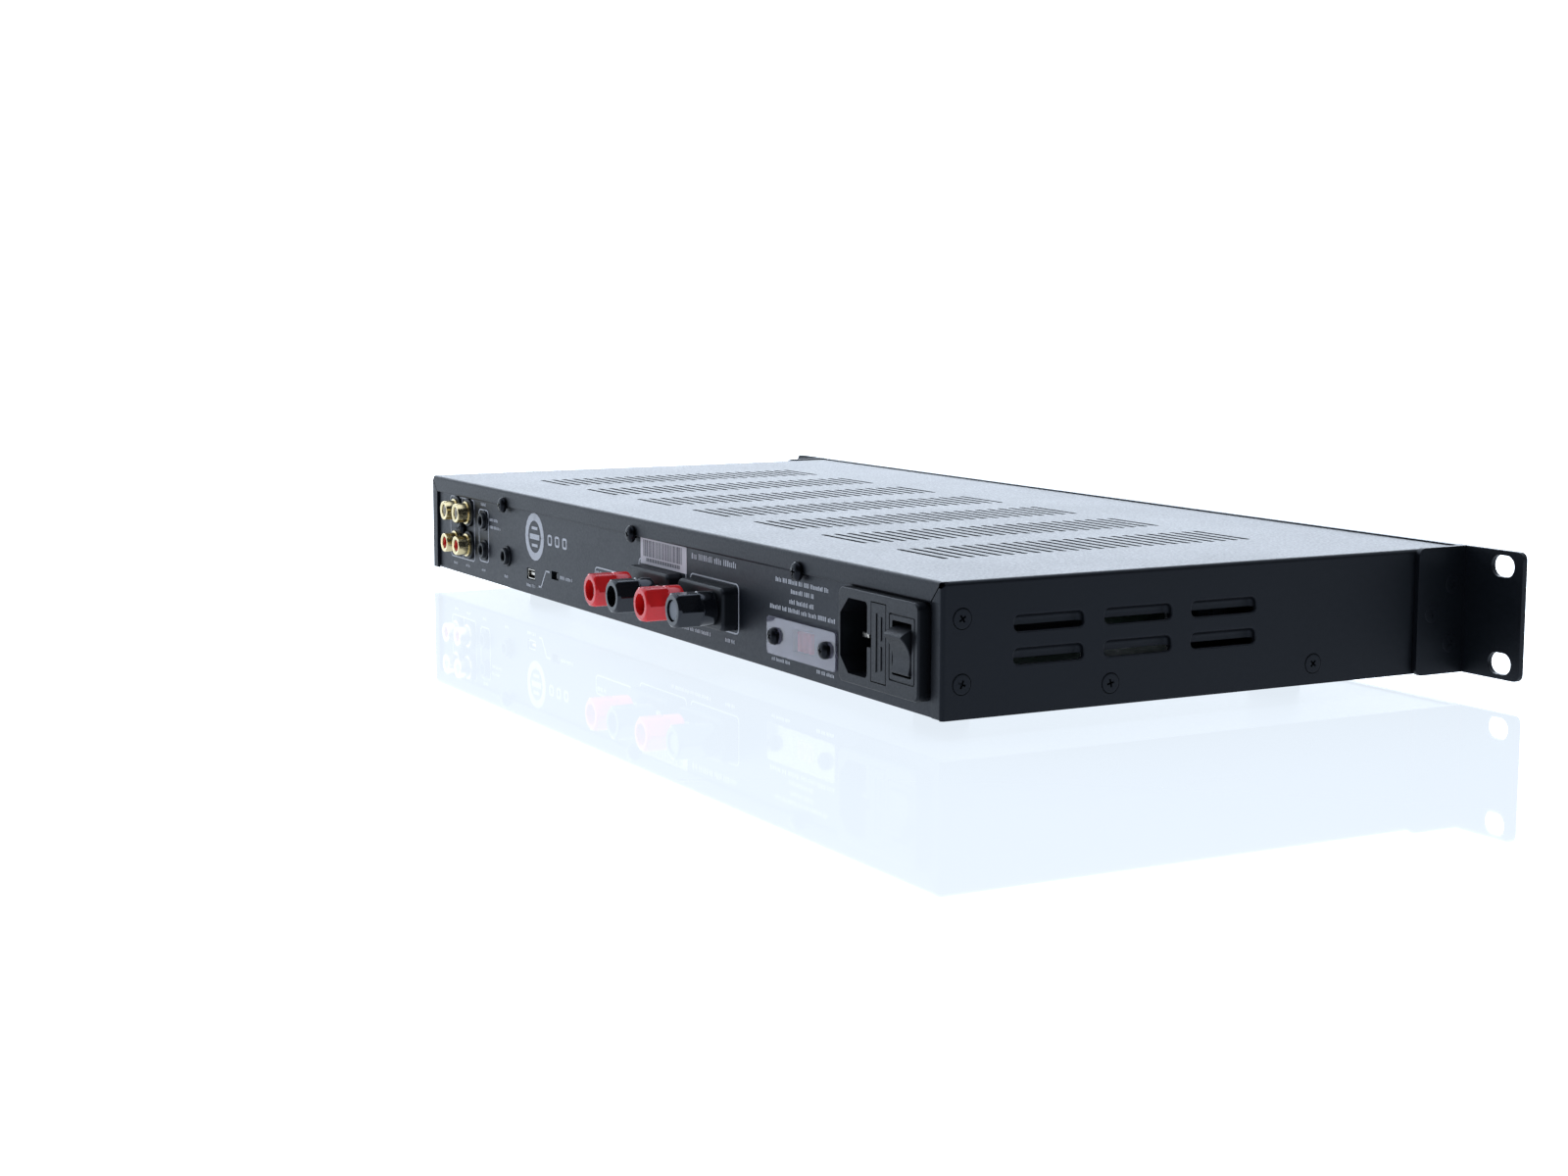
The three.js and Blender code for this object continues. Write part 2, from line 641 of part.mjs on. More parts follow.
const ON_BOARD = BOARD_Z + BOARD_T + GAP;

function transformer() {
  const core = block(-20, 20, -12, 12, 0, 26);
  const winding = block(-13, 13, -18, 18, 3, 23);
  return join(core, winding);
}

function heatsink() {
  const fins = [];
  for (let i = 0; i < 9; i += 1) {
    fins.push(block(-60 + i * 14.5, -56 + i * 14.5, -14, 14, 0, 26));
  }
  return join(block(-60, 60, -14, 14, 0, 5), ...fins);
}

function bulkCapacitor() {
  const can = new THREE.LatheGeometry([
    [0, 0], [13.5, 0], [15, 1.5], [15, 26.5], [14, 28], [12, 27.4], [0, 27.4],
  ].map(([r, z]) => new THREE.Vector2(r, z)), 20);
  can.rotateX(Math.PI / 2);
  return toSolid(can);
}

function build() {
  piece('chassis_tray', chassisTray(), REAR_COAT);
  piece('top_cover', topCover(), BLACK_COAT);
  piece('front_panel', frontPanel(), BLACK_ANODISED);
  piece('rack_ear_left', rackEar(-1), BLACK_COAT);
  piece('rack_ear_right', rackEar(1), BLACK_COAT);
  const footNames = ['foot_front_left', 'foot_front_right', 'foot_rear_left', 'foot_rear_right'];
  footNames.forEach((name, i) => {
    placed(name, foot(), RUBBER, i % 2 ? FOOT_X : -FOOT_X, FOOT_YS[i < 2 ? 0 : 1], 0);
  });
  COVER_SCREWS.xs.forEach((x, i) => {
    placed(`cover_screw_${i + 1}`, coverScrew(), BLACK_STEEL, x, CASE_D, COVER_SCREWS.z);
  });

  piece('rca_housing', rcaHousing(), BLACK_PLASTIC);
  rcaPlaces().forEach(([x, z], i) => placed(`rca_shell_${i + 1}`, rcaShell(), GOLD, x, REAR, z));
  JACKS.forEach(({ name, x, z }) => placed(name, miniJack(), BLACK_PLASTIC, x, REAR, z));
  placed('usb_socket', usbSocket(), NICKEL, USB.x, REAR, USB.z);
  placed('update_switch_body', updateSwitchBody(), BLACK_PLASTIC, UPDATE.x, REAR, UPDATE.z);
  placed('update_switch_slider', updateSwitchSlider(), BLACK_PLASTIC,
    UPDATE.x - UPDATE.travel / 2, REAR, UPDATE.z);

  TERMINALS.pairs.forEach((x, i) => {
    placed(`terminal_base_${i + 1}`, terminalBase(), BLACK_PLASTIC, x, REAR, TERMINALS.z);
  });
  terminalPlaces().forEach(({ x, red, open }, i) => {
    const back = REAR + TERMINALS.t + GAP + open;
    placed(`terminal_post_${i + 1}`, terminalPost(), NICKEL, x, REAR, TERMINALS.z);
    placed(`terminal_insert_${i + 1}`, terminalInsert(), BRASS, x, back, TERMINALS.z);
    placed(`terminal_cap_${i + 1}`, terminalCap(), red ? RED_GLOSS : BLACK_GLOSS, x, back, TERMINALS.z);
  });
  placed('terminal_plug', terminalPlug(), GREY_PLASTIC, terminalPlaces()[3].x, REAR, TERMINALS.z);

  piece('inlet_housing', inletHousing(), BLACK_PLASTIC);
  inletPins().forEach(([x, z], i) => {
    piece(`inlet_pin_${i + 1}`, block(x - 2, x + 2, REAR - 31, REAR - 1, z - 1, z + 1), NICKEL);
  });
  piece('fuse_drawer', fuseDrawer(), BLACK_PLASTIC);
  placed('fuse', fuse(), NICKEL, DRAWER.x, REAR - 12, INLET.z);
  const rocker = placed('power_rocker', powerRocker(), BLACK_PLASTIC,
    ROCKER.x, REAR + INLET.proud - ROCKER.pivot, INLET.z);
  rocker.rotation.x = -THREE.MathUtils.degToRad(ROCKER.tilt);
  placed('selector_body', selectorBody(), BLACK_PLASTIC, SELECTOR.x, REAR, SELECTOR.z);
  placed('selector_slider', selectorSlider(), RED_PLASTIC,
    SELECTOR.x - SELECTOR_TRAVEL / 2, REAR, SELECTOR.z);
  placed('selector_cover', selectorCover(), CLEAR_PLASTIC, SELECTOR.x, REAR, SELECTOR.z);

  placed('menu_knob', menuKnob(), BLACK_ANODISED, KNOB.x, 0, FRONT_Z);
  placed('encoder', encoder(), NICKEL, KNOB.x, 0, FRONT_Z);
  placed('power_button', powerButton(), BLACK_PLASTIC, BUTTON.x, 0, FRONT_Z);
  placed('display_window', displayWindow(), GLASS, WINDOW.x, 0, FRONT_Z);

  BOARDS.forEach((board) => piece(board.name, circuitBoard(board), BOARD_GREEN));
  const board = CONTROL_BOARD_Y;
  piece('display_board', window(-16, FRONT_Z, 368, 35, board, board + BOARD_T), BOARD_GREEN);
  piece('button_switch', window(BUTTON.x, FRONT_Z, 6, 6, board - 2.8, board - GAP / 2), BLACK_PLASTIC);
  placed('transformer', transformer(), FERRITE, -126, 118, ON_BOARD);
  placed('bulk_capacitor', bulkCapacitor(), SLEEVE, -175, 74, ON_BOARD);
  placed('heatsink', heatsink(), ALUMINIUM, 0, 110, ON_BOARD);
}

build();
const depthCentre = (REAR + CAP_REACH - KNOB.off - KNOB.l) / 2;
amplifier.position.set(0, -depthCentre, FOOT_H);

export default amplifier;
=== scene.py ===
"""Rack-mount power amplifier, one rack unit high: the finished pieces, their finishes and a
plain studio around the fixed frame. Metres, in the frame's own axes: x across the case,
y towards the rear panel, z up from the surface that the feet stand on."""

import contextlib
import json
import math
import random

import bmesh
import bpy
from mathutils import Matrix, Vector
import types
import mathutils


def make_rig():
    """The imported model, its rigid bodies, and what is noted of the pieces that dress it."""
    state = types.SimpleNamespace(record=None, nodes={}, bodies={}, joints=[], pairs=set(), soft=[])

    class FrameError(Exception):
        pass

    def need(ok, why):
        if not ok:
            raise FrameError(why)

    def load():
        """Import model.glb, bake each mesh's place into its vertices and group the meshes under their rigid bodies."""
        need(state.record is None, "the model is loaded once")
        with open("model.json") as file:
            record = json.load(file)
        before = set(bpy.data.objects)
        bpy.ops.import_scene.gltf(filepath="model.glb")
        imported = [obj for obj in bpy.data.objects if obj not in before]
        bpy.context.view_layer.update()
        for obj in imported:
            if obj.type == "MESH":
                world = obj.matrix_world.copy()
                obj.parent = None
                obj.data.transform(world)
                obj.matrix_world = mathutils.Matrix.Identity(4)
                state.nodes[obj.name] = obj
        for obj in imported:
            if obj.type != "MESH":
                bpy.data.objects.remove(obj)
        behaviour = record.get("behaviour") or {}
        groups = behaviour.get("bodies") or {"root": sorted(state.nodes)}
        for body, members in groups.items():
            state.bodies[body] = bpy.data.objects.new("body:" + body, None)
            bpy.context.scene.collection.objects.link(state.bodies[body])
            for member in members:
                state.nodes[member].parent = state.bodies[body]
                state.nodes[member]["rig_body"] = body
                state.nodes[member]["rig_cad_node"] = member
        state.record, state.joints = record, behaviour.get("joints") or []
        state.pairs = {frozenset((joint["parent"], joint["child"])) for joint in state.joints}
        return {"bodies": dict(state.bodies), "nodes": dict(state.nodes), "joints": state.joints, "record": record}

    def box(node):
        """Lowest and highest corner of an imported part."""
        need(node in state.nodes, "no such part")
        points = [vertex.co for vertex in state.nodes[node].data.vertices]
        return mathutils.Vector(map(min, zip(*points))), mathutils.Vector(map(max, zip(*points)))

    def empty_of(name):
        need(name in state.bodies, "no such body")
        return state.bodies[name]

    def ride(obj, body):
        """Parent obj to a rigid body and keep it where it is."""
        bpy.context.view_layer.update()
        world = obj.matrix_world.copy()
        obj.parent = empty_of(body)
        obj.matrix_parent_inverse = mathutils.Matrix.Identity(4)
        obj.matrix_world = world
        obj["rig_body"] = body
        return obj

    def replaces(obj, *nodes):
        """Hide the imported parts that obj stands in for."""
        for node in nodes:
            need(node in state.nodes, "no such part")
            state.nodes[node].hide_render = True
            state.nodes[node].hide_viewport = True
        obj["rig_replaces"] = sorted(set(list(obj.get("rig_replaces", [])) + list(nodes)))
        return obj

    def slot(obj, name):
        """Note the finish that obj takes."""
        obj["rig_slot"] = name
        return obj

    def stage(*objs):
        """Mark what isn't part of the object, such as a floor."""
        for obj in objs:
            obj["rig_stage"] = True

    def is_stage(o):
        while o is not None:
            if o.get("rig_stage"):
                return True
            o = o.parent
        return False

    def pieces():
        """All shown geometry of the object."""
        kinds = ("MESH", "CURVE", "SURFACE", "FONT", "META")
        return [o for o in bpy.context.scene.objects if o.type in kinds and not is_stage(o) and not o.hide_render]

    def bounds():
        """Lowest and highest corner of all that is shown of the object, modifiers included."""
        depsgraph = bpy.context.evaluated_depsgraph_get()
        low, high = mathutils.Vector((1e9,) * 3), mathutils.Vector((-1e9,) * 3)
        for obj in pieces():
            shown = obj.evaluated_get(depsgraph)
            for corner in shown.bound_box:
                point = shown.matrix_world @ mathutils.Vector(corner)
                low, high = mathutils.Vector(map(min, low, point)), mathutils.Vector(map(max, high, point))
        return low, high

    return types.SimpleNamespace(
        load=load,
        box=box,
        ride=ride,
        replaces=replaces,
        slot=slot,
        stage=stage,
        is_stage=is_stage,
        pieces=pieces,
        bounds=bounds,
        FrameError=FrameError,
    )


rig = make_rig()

bl_info = {
    "name": "Rack power amplifier",
    "version": (1, 0, 0),
    "blender": (4, 5, 0),
    "location": "View3D > Sidebar > Amplifier",
    "description": "Builds the visible pieces of a one-unit rack power amplifier",
    "category": "Add Mesh",
}

for spare in list(bpy.data.objects):
    bpy.data.objects.remove(spare)
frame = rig.load()
CAD_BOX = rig.bounds()

MM = 0.001
SHEET = 1.2 * MM
CHASSIS = "chassis"
COVER_LOW, COVER_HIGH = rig.box("top_cover")
TRAY_LOW, TRAY_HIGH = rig.box("chassis_tray")
REAR = TRAY_HIGH.y
BASE = TRAY_LOW.z
SIDE = COVER_HIGH.x

# Parts of the cover, in millimetres
FLANGE_H = 6.5
LIP_W = 5.8
SLOTS = {"groups": 7, "group_pitch": 50, "count": 25, "pitch": 5, "length": 30}
SLOTS_MID_BACK = 92.5
LOUVRES = {"length": 25, "height": 4.8, "gap": 1.7, "depth": 2.4}
LOUVRE_BACKS = [37.7, 70.4, 103.1]
LOUVRE_UPS = [24.8, 14.9]
SIDE_SCREWS = [(7, 29.9), (7, 10.5), (60.3, 6.7), (139.3, 6.7)]
EAR_SCREWS = [(7.2, 29), (16, 19.9), (7.8, 9.6)]


# ---- Colours and nodes -------------------------------------------------------------


def linear(code):
    """A linear colour with alpha from an sRGB hex value such as 2b2f36."""
    parts = [int(code[i : i + 2], 16) / 255 for i in (0, 2, 4)]
    return (*[p / 12.92 if p <= 0.04045 else ((p + 0.055) / 1.055) ** 2.4 for p in parts], 1)


def add(tree, kind, inputs=None, **settings):
    """Adds a node: settings are its properties, inputs its sockets, linked or set."""
    made = tree.nodes.new("ShaderNode" + kind)
    for key, value in settings.items():
        setattr(made, key, value)
    for socket, value in (inputs or {}).items():
        if isinstance(value, bpy.types.NodeSocket):
            tree.links.new(value, made.inputs[socket])
        else:
            made.inputs[socket].default_value = value
    return made


def new_finish(name, **constants):
    """An empty material with its shader, and the socket of its object coordinates."""
    material = bpy.data.materials.new(name)
    material.use_nodes = True
    tree = material.node_tree
    tree.nodes.clear()
    inputs = {key.replace("_", " "): value for key, value in constants.items()}
    shader = add(tree, "BsdfPrincipled", inputs)
    output = add(tree, "OutputMaterial")
    tree.links.new(shader.outputs[0], output.inputs[0])
    place = add(tree, "TexCoord").outputs["Object"]
    return material, tree, shader, place


def grain(tree, place, size_mm, detail=2.0, rough=0.5):
    """Noise whose grains are about size_mm across."""
    scale = 1 / (size_mm * MM)
    inputs = {"Vector": place, "Scale": scale, "Detail": detail, "Roughness": rough}
    return add(tree, "TexNoise", inputs).outputs["Fac"]


def between(tree, value, low, high, start=0.3, end=0.7):
    """Maps a noise value to the range from low to high."""
    inputs = {"Value": value, "From Min": start, "From Max": end, "To Min": low, "To Max": high}
    return add(tree, "MapRange", inputs).outputs[0]


def blended(tree, value, first, second):
    """A colour between two, by a value from 0 to 1."""
    made = add(tree, "Mix", {0: value}, data_type="RGBA")
    made.inputs[6].default_value = first
    made.inputs[7].default_value = second
    return made.outputs[2]


def raised(tree, shader, height, depth_mm, strength=1.0):
    """Bumps the surface by a height value over depth_mm."""
    inputs = {"Height": height, "Distance": depth_mm * MM, "Strength": strength}
    bump = add(tree, "Bump", inputs)
    tree.links.new(bump.outputs[0], shader.inputs["Normal"])


def powder_coat(name, colour, low_rough, high_rough):
    """Powder-coated steel: a fine pebbled satin skin that breaks up the light. The pebbles
    are near 0.3 mm on the sheet and are drawn at 0.9 mm, so that they show."""
    # painted reflection: the bluish specular tint stands in for the blue of the studio light in the reflections
    material, tree, shader, place = new_finish(
        name, IOR=1.5, Specular_IOR_Level=0.3, Specular_Tint=linear("dfeaff"))
    dark = (*[0.72 * c for c in colour[:3]], 1)
    cloud = grain(tree, place, 40, 2)
    pebble = grain(tree, place, 0.9, 3, 0.65)
    tone = blended(tree, between(tree, pebble, 0, 1), dark, colour)
    tree.links.new(tone, shader.inputs["Base Color"])
    worn = add(tree, "Math", {0: between(tree, cloud, 0, 0.12), 1: between(tree, pebble, 0, 0.88)},
               operation="ADD").outputs[0]
    tree.links.new(between(tree, worn, low_rough, high_rough, 0, 1), shader.inputs["Roughness"])
    raised(tree, shader, pebble, 0.05, 0.5)
    return material


def moulded_plastic(name, colour, roughness, texture=0.02, size=0.5, level=0.3):
    """Injection-moulded ABS or nylon: an even tone with a slight spark-eroded texture."""
    # painted reflection: the bluish specular tint stands in for the blue of the studio light in the reflections
    material, tree, shader, place = new_finish(
        name, IOR=1.53, Specular_IOR_Level=level, Specular_Tint=linear("e6eeff"))
    shade = (*[0.8 * c for c in colour[:3]], 1)
    speck = grain(tree, place, size, 2)
    tree.links.new(blended(tree, between(tree, grain(tree, place, 6), 0, 1), shade, colour),
                   shader.inputs["Base Color"])
    tree.links.new(between(tree, speck, roughness * 0.85, roughness * 1.2),
                   shader.inputs["Roughness"])
    raised(tree, shader, speck, texture, 0.4)
    return material


def plated_metal(name, colour, roughness, streak=1.0):
    """Plated or machined metal: fine turning marks across the axis and a soft tarnish."""
    material, tree, shader, place = new_finish(name, Metallic=1.0)
    tint = (*[0.78 * c for c in colour[:3]], 1)
    stretched = add(tree, "Mapping", {"Vector": place, "Scale": (1, 6 * streak, 1)}).outputs[0]
    marks = grain(tree, stretched, 0.8, 2)
    tree.links.new(blended(tree, between(tree, grain(tree, place, 2.5), 0, 1), tint, colour),
                   shader.inputs["Base Color"])
    tree.links.new(between(tree, marks, roughness * 0.7, roughness * 1.4),
                   shader.inputs["Roughness"])
    raised(tree, shader, marks, 0.01, 0.3)
    return material


def clear_sheet(name, tint, roughness, transmission):
    """Clear or smoked polycarbonate: glossy, slightly rippled, lets through what lies behind."""
    material, tree, shader, place = new_finish(
        name, IOR=1.58, Transmission_Weight=transmission)
    ripple = grain(tree, place, 5, 1)
    tree.links.new(blended(tree, between(tree, ripple, 0, 1), tint, (*[0.9 * c for c in tint[:3]], 1)),
                   shader.inputs["Base Color"])
    tree.links.new(between(tree, ripple, roughness * 0.8, roughness * 1.3),
                   shader.inputs["Roughness"])
    raised(tree, shader, ripple, 0.02, 0.2)
    return material


def printed(name, colour, break_up):
    """Screen-printed ink or printed paper: matt, with pinholes where the ink is thin."""
    material, tree, shader, place = new_finish(name, IOR=1.45)
    thin = (*[break_up * c for c in colour[:3]], 1)
    holes = grain(tree, place, 0.25, 2)
    tree.links.new(blended(tree, between(tree, holes, 0, 1, 0.35, 0.5), thin, colour),
                   shader.inputs["Base Color"])
    tree.links.new(between(tree, holes, 0.7, 0.5), shader.inputs["Roughness"])
    return material


def circuit_laminate(name, colour, copper):
    """Glass-epoxy board under green solder mask: darker ground, lighter tracks."""
    material, tree, shader, place = new_finish(name, IOR=1.5)
    cells = add(tree, "TexBrick", {"Vector": place, "Scale": 130.0, "Mortar Size": 0.018,
                                   "Color1": colour, "Color2": colour, "Mortar": copper})
    tree.links.new(cells.outputs["Color"], shader.inputs["Base Color"])
    tree.links.new(between(tree, grain(tree, place, 3), 0.3, 0.45), shader.inputs["Roughness"])
    raised(tree, shader, cells.outputs["Fac"], 0.03, 0.3)
    return material


FINISHES = {}


def make_finishes(colours):
    """Every finish, from the user's colours."""
    c = {name: (*getattr(colours, name), 1) for name in colours.__annotations__}
    FINISHES.update(
        coat=powder_coat("powder_coated_steel", c["coat"], 0.36, 0.52),
        # painted light: the rear panel and base take the case's own powder coat, drawn lighter and bluer where more
        # light falls on them
        rear=powder_coat("powder_coat_painted_lighter_on_rear", c["rear_coat"], 0.38, 0.5),
        anodised=powder_coat("black_anodised_aluminium", c["fascia"], 0.3, 0.4),
        oxide=plated_metal("black_oxide_steel", c["screw"], 0.3),
        abs=moulded_plastic("moulded_black_nylon", c["moulding"], 0.42),
        gloss_black=moulded_plastic("polished_black_phenolic", c["gloss_black"], 0.1, 0.003, 2, 0.5),
        gloss_red=moulded_plastic("polished_red_phenolic", c["gloss_red"], 0.1, 0.003, 2, 0.5),
        grey=moulded_plastic("grey_nylon_plug", c["plug"], 0.4),
        red=moulded_plastic("red_moulded_slider", c["selector"], 0.35),
        white_pvc=moulded_plastic("white_pvc_insulator", linear("e9e4dc"), 0.3),
        red_pvc=moulded_plastic("red_pvc_insulator", c["gloss_red"], 0.3),
        rubber=moulded_plastic("moulded_rubber", linear("121212"), 0.8, 0.05, 0.8),
        gold=plated_metal("gold_plate", c["gold"], 0.2),
        nickel=plated_metal("nickel_plate", linear("c4c1ba"), 0.25),
        brass=plated_metal("turned_brass", linear("c19a52"), 0.3),
        aluminium=plated_metal("extruded_aluminium", linear("a8abb0"), 0.35, 4),
        plate=clear_sheet("tinted_polycarbonate", c["plate"], 0.06, 0.9),
        window=clear_sheet("smoked_acrylic_window", linear("14161c"), 0.06, 0.1),
        glass=clear_sheet("fuse_glass", linear("e6efe9"), 0.05, 0.9),
        ink=printed("screen_printed_ink", c["ink"], 0.75),
        paper=printed("label_paper", c["paper"], 0.94),
        label_ink=printed("label_ink", linear("55555f"), 1.4),
        board=circuit_laminate("glass_epoxy_board", linear("0e1f18"), linear("24382a")),
        ferrite=moulded_plastic("sintered_ferrite", linear("303036"), 0.75, 0.08, 0.6),
        sleeve=moulded_plastic("capacitor_sleeve", linear("22303f"), 0.3, 0.01, 3),
    )


# ---- Modelling by hand -------------------------------------------------------------


def only(piece=None):
    """Leaves that piece alone selected, or nothing."""
    bpy.ops.object.select_all(action="DESELECT")
    bpy.context.view_layer.objects.active = piece
    if piece is not None:
        piece.select_set(True)


@contextlib.contextmanager
def editing(piece, kind="FACE"):
    """Edit mode on one piece, with nothing selected."""
    only(piece)
    bpy.ops.object.mode_set(mode="EDIT")
    bpy.ops.mesh.select_mode(type=kind)
    bpy.ops.mesh.select_all(action="DESELECT")
    yield
    bpy.ops.object.mode_set(mode="OBJECT")


def select(piece, kind, test):
    """In edit mode, selects what passes test(middle, direction or normal)."""
    mesh = bmesh.from_edit_mesh(piece.data)
    bpy.ops.mesh.select_all(action="DESELECT")
    if kind == "VERT":
        found = [v for v in mesh.verts if test(v.co, v.normal)]
    elif kind == "EDGE":
        found = []
        for edge in mesh.edges:
            a, b = (v.co for v in edge.verts)
            if test((a + b) / 2, (b - a).normalized()):
                found.append(edge)
    else:
        found = [f for f in mesh.faces if test(f.calc_center_median(), f.normal)]
    for item in found:
        item.select_set(True)
    bmesh.update_edit_mesh(piece.data)
    return len(found)


def settled(name, place=(0, 0, 0), turn=(0, 0, 0), size=None):
    """Names the new primitive and puts its place into its mesh."""
    piece = bpy.context.object
    piece.name = name
    if size is not None:
        piece.scale = size
    bpy.ops.object.transform_apply(location=True, rotation=True, scale=True)
    return piece


def block(name, low, high):
    """A box between two corners."""
    only()
    low, high = Vector(low), Vector(high)
    bpy.ops.mesh.primitive_cube_add(size=1, location=(low + high) / 2)
    return settled(name, size=high - low)


def rod(name, radius, start, end, sides=40):
    """A rod between two points."""
    only()
    start, end = Vector(start), Vector(end)
    turn = (end - start).to_track_quat("Z", "Y").to_euler()
    bpy.ops.mesh.primitive_cylinder_add(
        vertices=sides, radius=radius, depth=(end - start).length,
        location=(start + end) / 2, rotation=turn)
    return settled(name)


def turned(name, profile, place=(0, 0, 0), sides=48, start_angle=0.0):
    """A turned piece about a line along y: profile is (radius, y) in millimetres, from the
    middle of its back face round to the middle of its front face."""
    only()
    place = Vector(place)
    (radius, back), *rest = profile
    bpy.ops.mesh.primitive_circle_add(
        vertices=sides, radius=radius * MM, fill_type="NGON",
        location=place + Vector((0, back * MM, 0)), rotation=(math.pi / 2, start_angle, 0))
    piece = settled(name)
    with editing(piece):
        bpy.ops.mesh.select_all(action="SELECT")
        for wide, along in rest:
            step = (0, (along - back) * MM, 0)
            bpy.ops.mesh.extrude_region_move(TRANSFORM_OT_translate={"value": step})
            ratio = wide / radius
            bpy.ops.transform.resize(
                value=(ratio, 1, ratio), center_override=place + Vector((0, along * MM, 0)))
            radius, back = wide, along
        bpy.ops.mesh.select_all(action="SELECT")
        bpy.ops.mesh.normals_make_consistent(inside=False)
    return piece


def traced(name, points, depth, axis):
    """A flat outline drawn point by point, filled, and extruded by depth along an axis."""
    only()
    bpy.ops.mesh.primitive_plane_add(size=MM, location=points[0])
    piece = settled(name)
    with editing(piece, "VERT"):
        bpy.ops.mesh.select_all(action="SELECT")
        bpy.ops.mesh.merge(type="CENTER")
        for before, after in zip(points, points[1:]):
            step = Vector(after) - Vector(before)
            bpy.ops.mesh.extrude_region_move(TRANSFORM_OT_translate={"value": step})
        bpy.ops.mesh.select_all(action="SELECT")
        bpy.ops.mesh.edge_face_add()
        push = Vector(axis) * depth
        bpy.ops.mesh.extrude_region_move(TRANSFORM_OT_translate={"value": push})
        bpy.ops.mesh.select_all(action="SELECT")
        bpy.ops.mesh.normals_make_consistent(inside=False)
    return piece


def round_edges(piece, test, radius_mm, segments=5):
    """Rounds the edges that pass the test."""
    with editing(piece, "EDGE"):
        if not select(piece, "EDGE", test):
            raise RuntimeError(f"{piece.name}: no edge to round")
        bpy.ops.mesh.bevel(offset=radius_mm * MM, segments=segments, profile=0.5,
                           affect="EDGES", clamp_overlap=True)


def rounded_block(name, low, high, radius_mm, axis="y", segments=6):
    """A box whose four edges along one axis are rounded."""
    piece = block(name, low, high)
    round_edges(piece, lambda _, d: abs(getattr(d, axis)) > 0.99, radius_mm, segments)
    return piece


def modify(piece, kind, **settings):
    """Adds a modifier and applies it."""
    only(piece)
    bpy.ops.object.modifier_add(type=kind)
    modifier = piece.modifiers[-1]
    for key, value in settings.items():
        setattr(modifier, key, value)
    bpy.ops.object.modifier_apply(modifier=modifier.name)
    return piece


def carve(piece, *tools, operation="DIFFERENCE"):
    """Cuts each tool out of a piece, or joins it on, and removes the tool."""
    for tool in tools:
        modify(piece, "BOOLEAN", operation=operation, object=tool, solver="EXACT")
        bpy.data.objects.remove(tool)
    return piece


def soften(piece, width_mm=0.2, segments=2, degrees=30):
    """Takes the sharpness off every corner, so that it catches the light."""
    return modify(piece, "BEVEL", width=width_mm * MM, segments=segments,
                  limit_method="ANGLE", angle_limit=math.radians(degrees),
                  use_clamp_overlap=True, harden_normals=False)


def smooth(piece, degrees=32):
    """Smooth shading that stays crisp at corners and flat on flats."""
    only(piece)
    bpy.ops.object.shade_smooth_by_angle(angle=math.radians(degrees))
    return modify(piece, "WEIGHTED_NORMAL", keep_sharp=True)


def copy_of(node, name):
    """A merged copy of a frame solid, to be finished by hand."""
    source = frame["nodes"][node]
    piece = bpy.data.objects.new(name, source.data.copy())
    bpy.context.scene.collection.objects.link(piece)
    with editing(piece, "VERT"):
        bpy.ops.mesh.select_all(action="SELECT")
        bpy.ops.mesh.remove_doubles(threshold=0.002 * MM)
        bpy.ops.mesh.dissolve_limited(angle_limit=math.radians(1))
    with contextlib.suppress(RuntimeError):
        bpy.ops.mesh.customdata_custom_splitnormals_clear()
    return piece


def place_copy(piece, name, place, turn=(0, 0, 0)):
    """A copy with its own mesh, moved and turned, its place put into the mesh."""
    only(piece)
    bpy.ops.object.duplicate(linked=False)
    made = bpy.context.object
    made.location = place
    made.rotation_euler = turn
    return settled(name)


def joined(name, pieces):
    """Several pieces as one object."""
    only(pieces[0])
    for piece in pieces:
        piece.select_set(True)
    bpy.ops.object.join()
    pieces[0].name = name
    return pieces[0]


def fit(piece, finish, nodes=(), slot=None, body=CHASSIS):
    """Gives a piece its finish and its body, and the frame solids it stands for."""
    piece.data.materials.clear()
    piece.data.materials.append(FINISHES[finish])
    nodes = (nodes,) if isinstance(nodes, str) else nodes
    if nodes:
        body = frame["nodes"][nodes[0]]["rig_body"]
        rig.replaces(piece, *nodes)
    if slot:
        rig.slot(piece, slot)
    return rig.ride(piece, body)


def at_rear(x, up, out=0.0):
    """A point on the rear panel: millimetres across, up from the case's underside, and out."""
    return Vector((x * MM, REAR + out * MM, BASE + up * MM))


def middle(node):
    """The middle of a frame solid's box."""
    low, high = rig.box(node)
    return (low + high) / 2


# ---- Sizes and colours a user would change -----------------------------------------


def length(name, value_mm, description):
    """A length property, its default in millimetres."""
    return bpy.props.FloatProperty(
        name=name, description=description, default=value_mm * MM, min=0.0, unit="LENGTH")


def colour(name, code, description):
    """A colour property, its default from a hex value."""
    return bpy.props.FloatVectorProperty(
        name=name, description=description, default=linear(code)[:3], size=3,
        min=0.0, max=1.0, subtype="COLOR")


class AmplifierSizes(bpy.types.PropertyGroup):
    """Sizes of the details that the frame leaves open."""

    bend: length("Bend radius", 1.4, "Outer radius where the sheet is folded")
    slot: length("Slot width", 2.0, "Width of each ventilation slot in the top")
    flare: length("Louvre flare", 1.8, "Radius of the pressed edge of a side louvre")
    screw: length("Screw head", 6.4, "Diameter of the pan-head screws")
    line: length("Printed line", 0.5, "Width of the printed outlines")
    ink: length("Ink thickness", 0.04, "How far the printing stands off the panel")
    flutes: bpy.props.IntProperty(
        name="Knob flutes", description="Number of grooves round the knob", default=40, min=8)


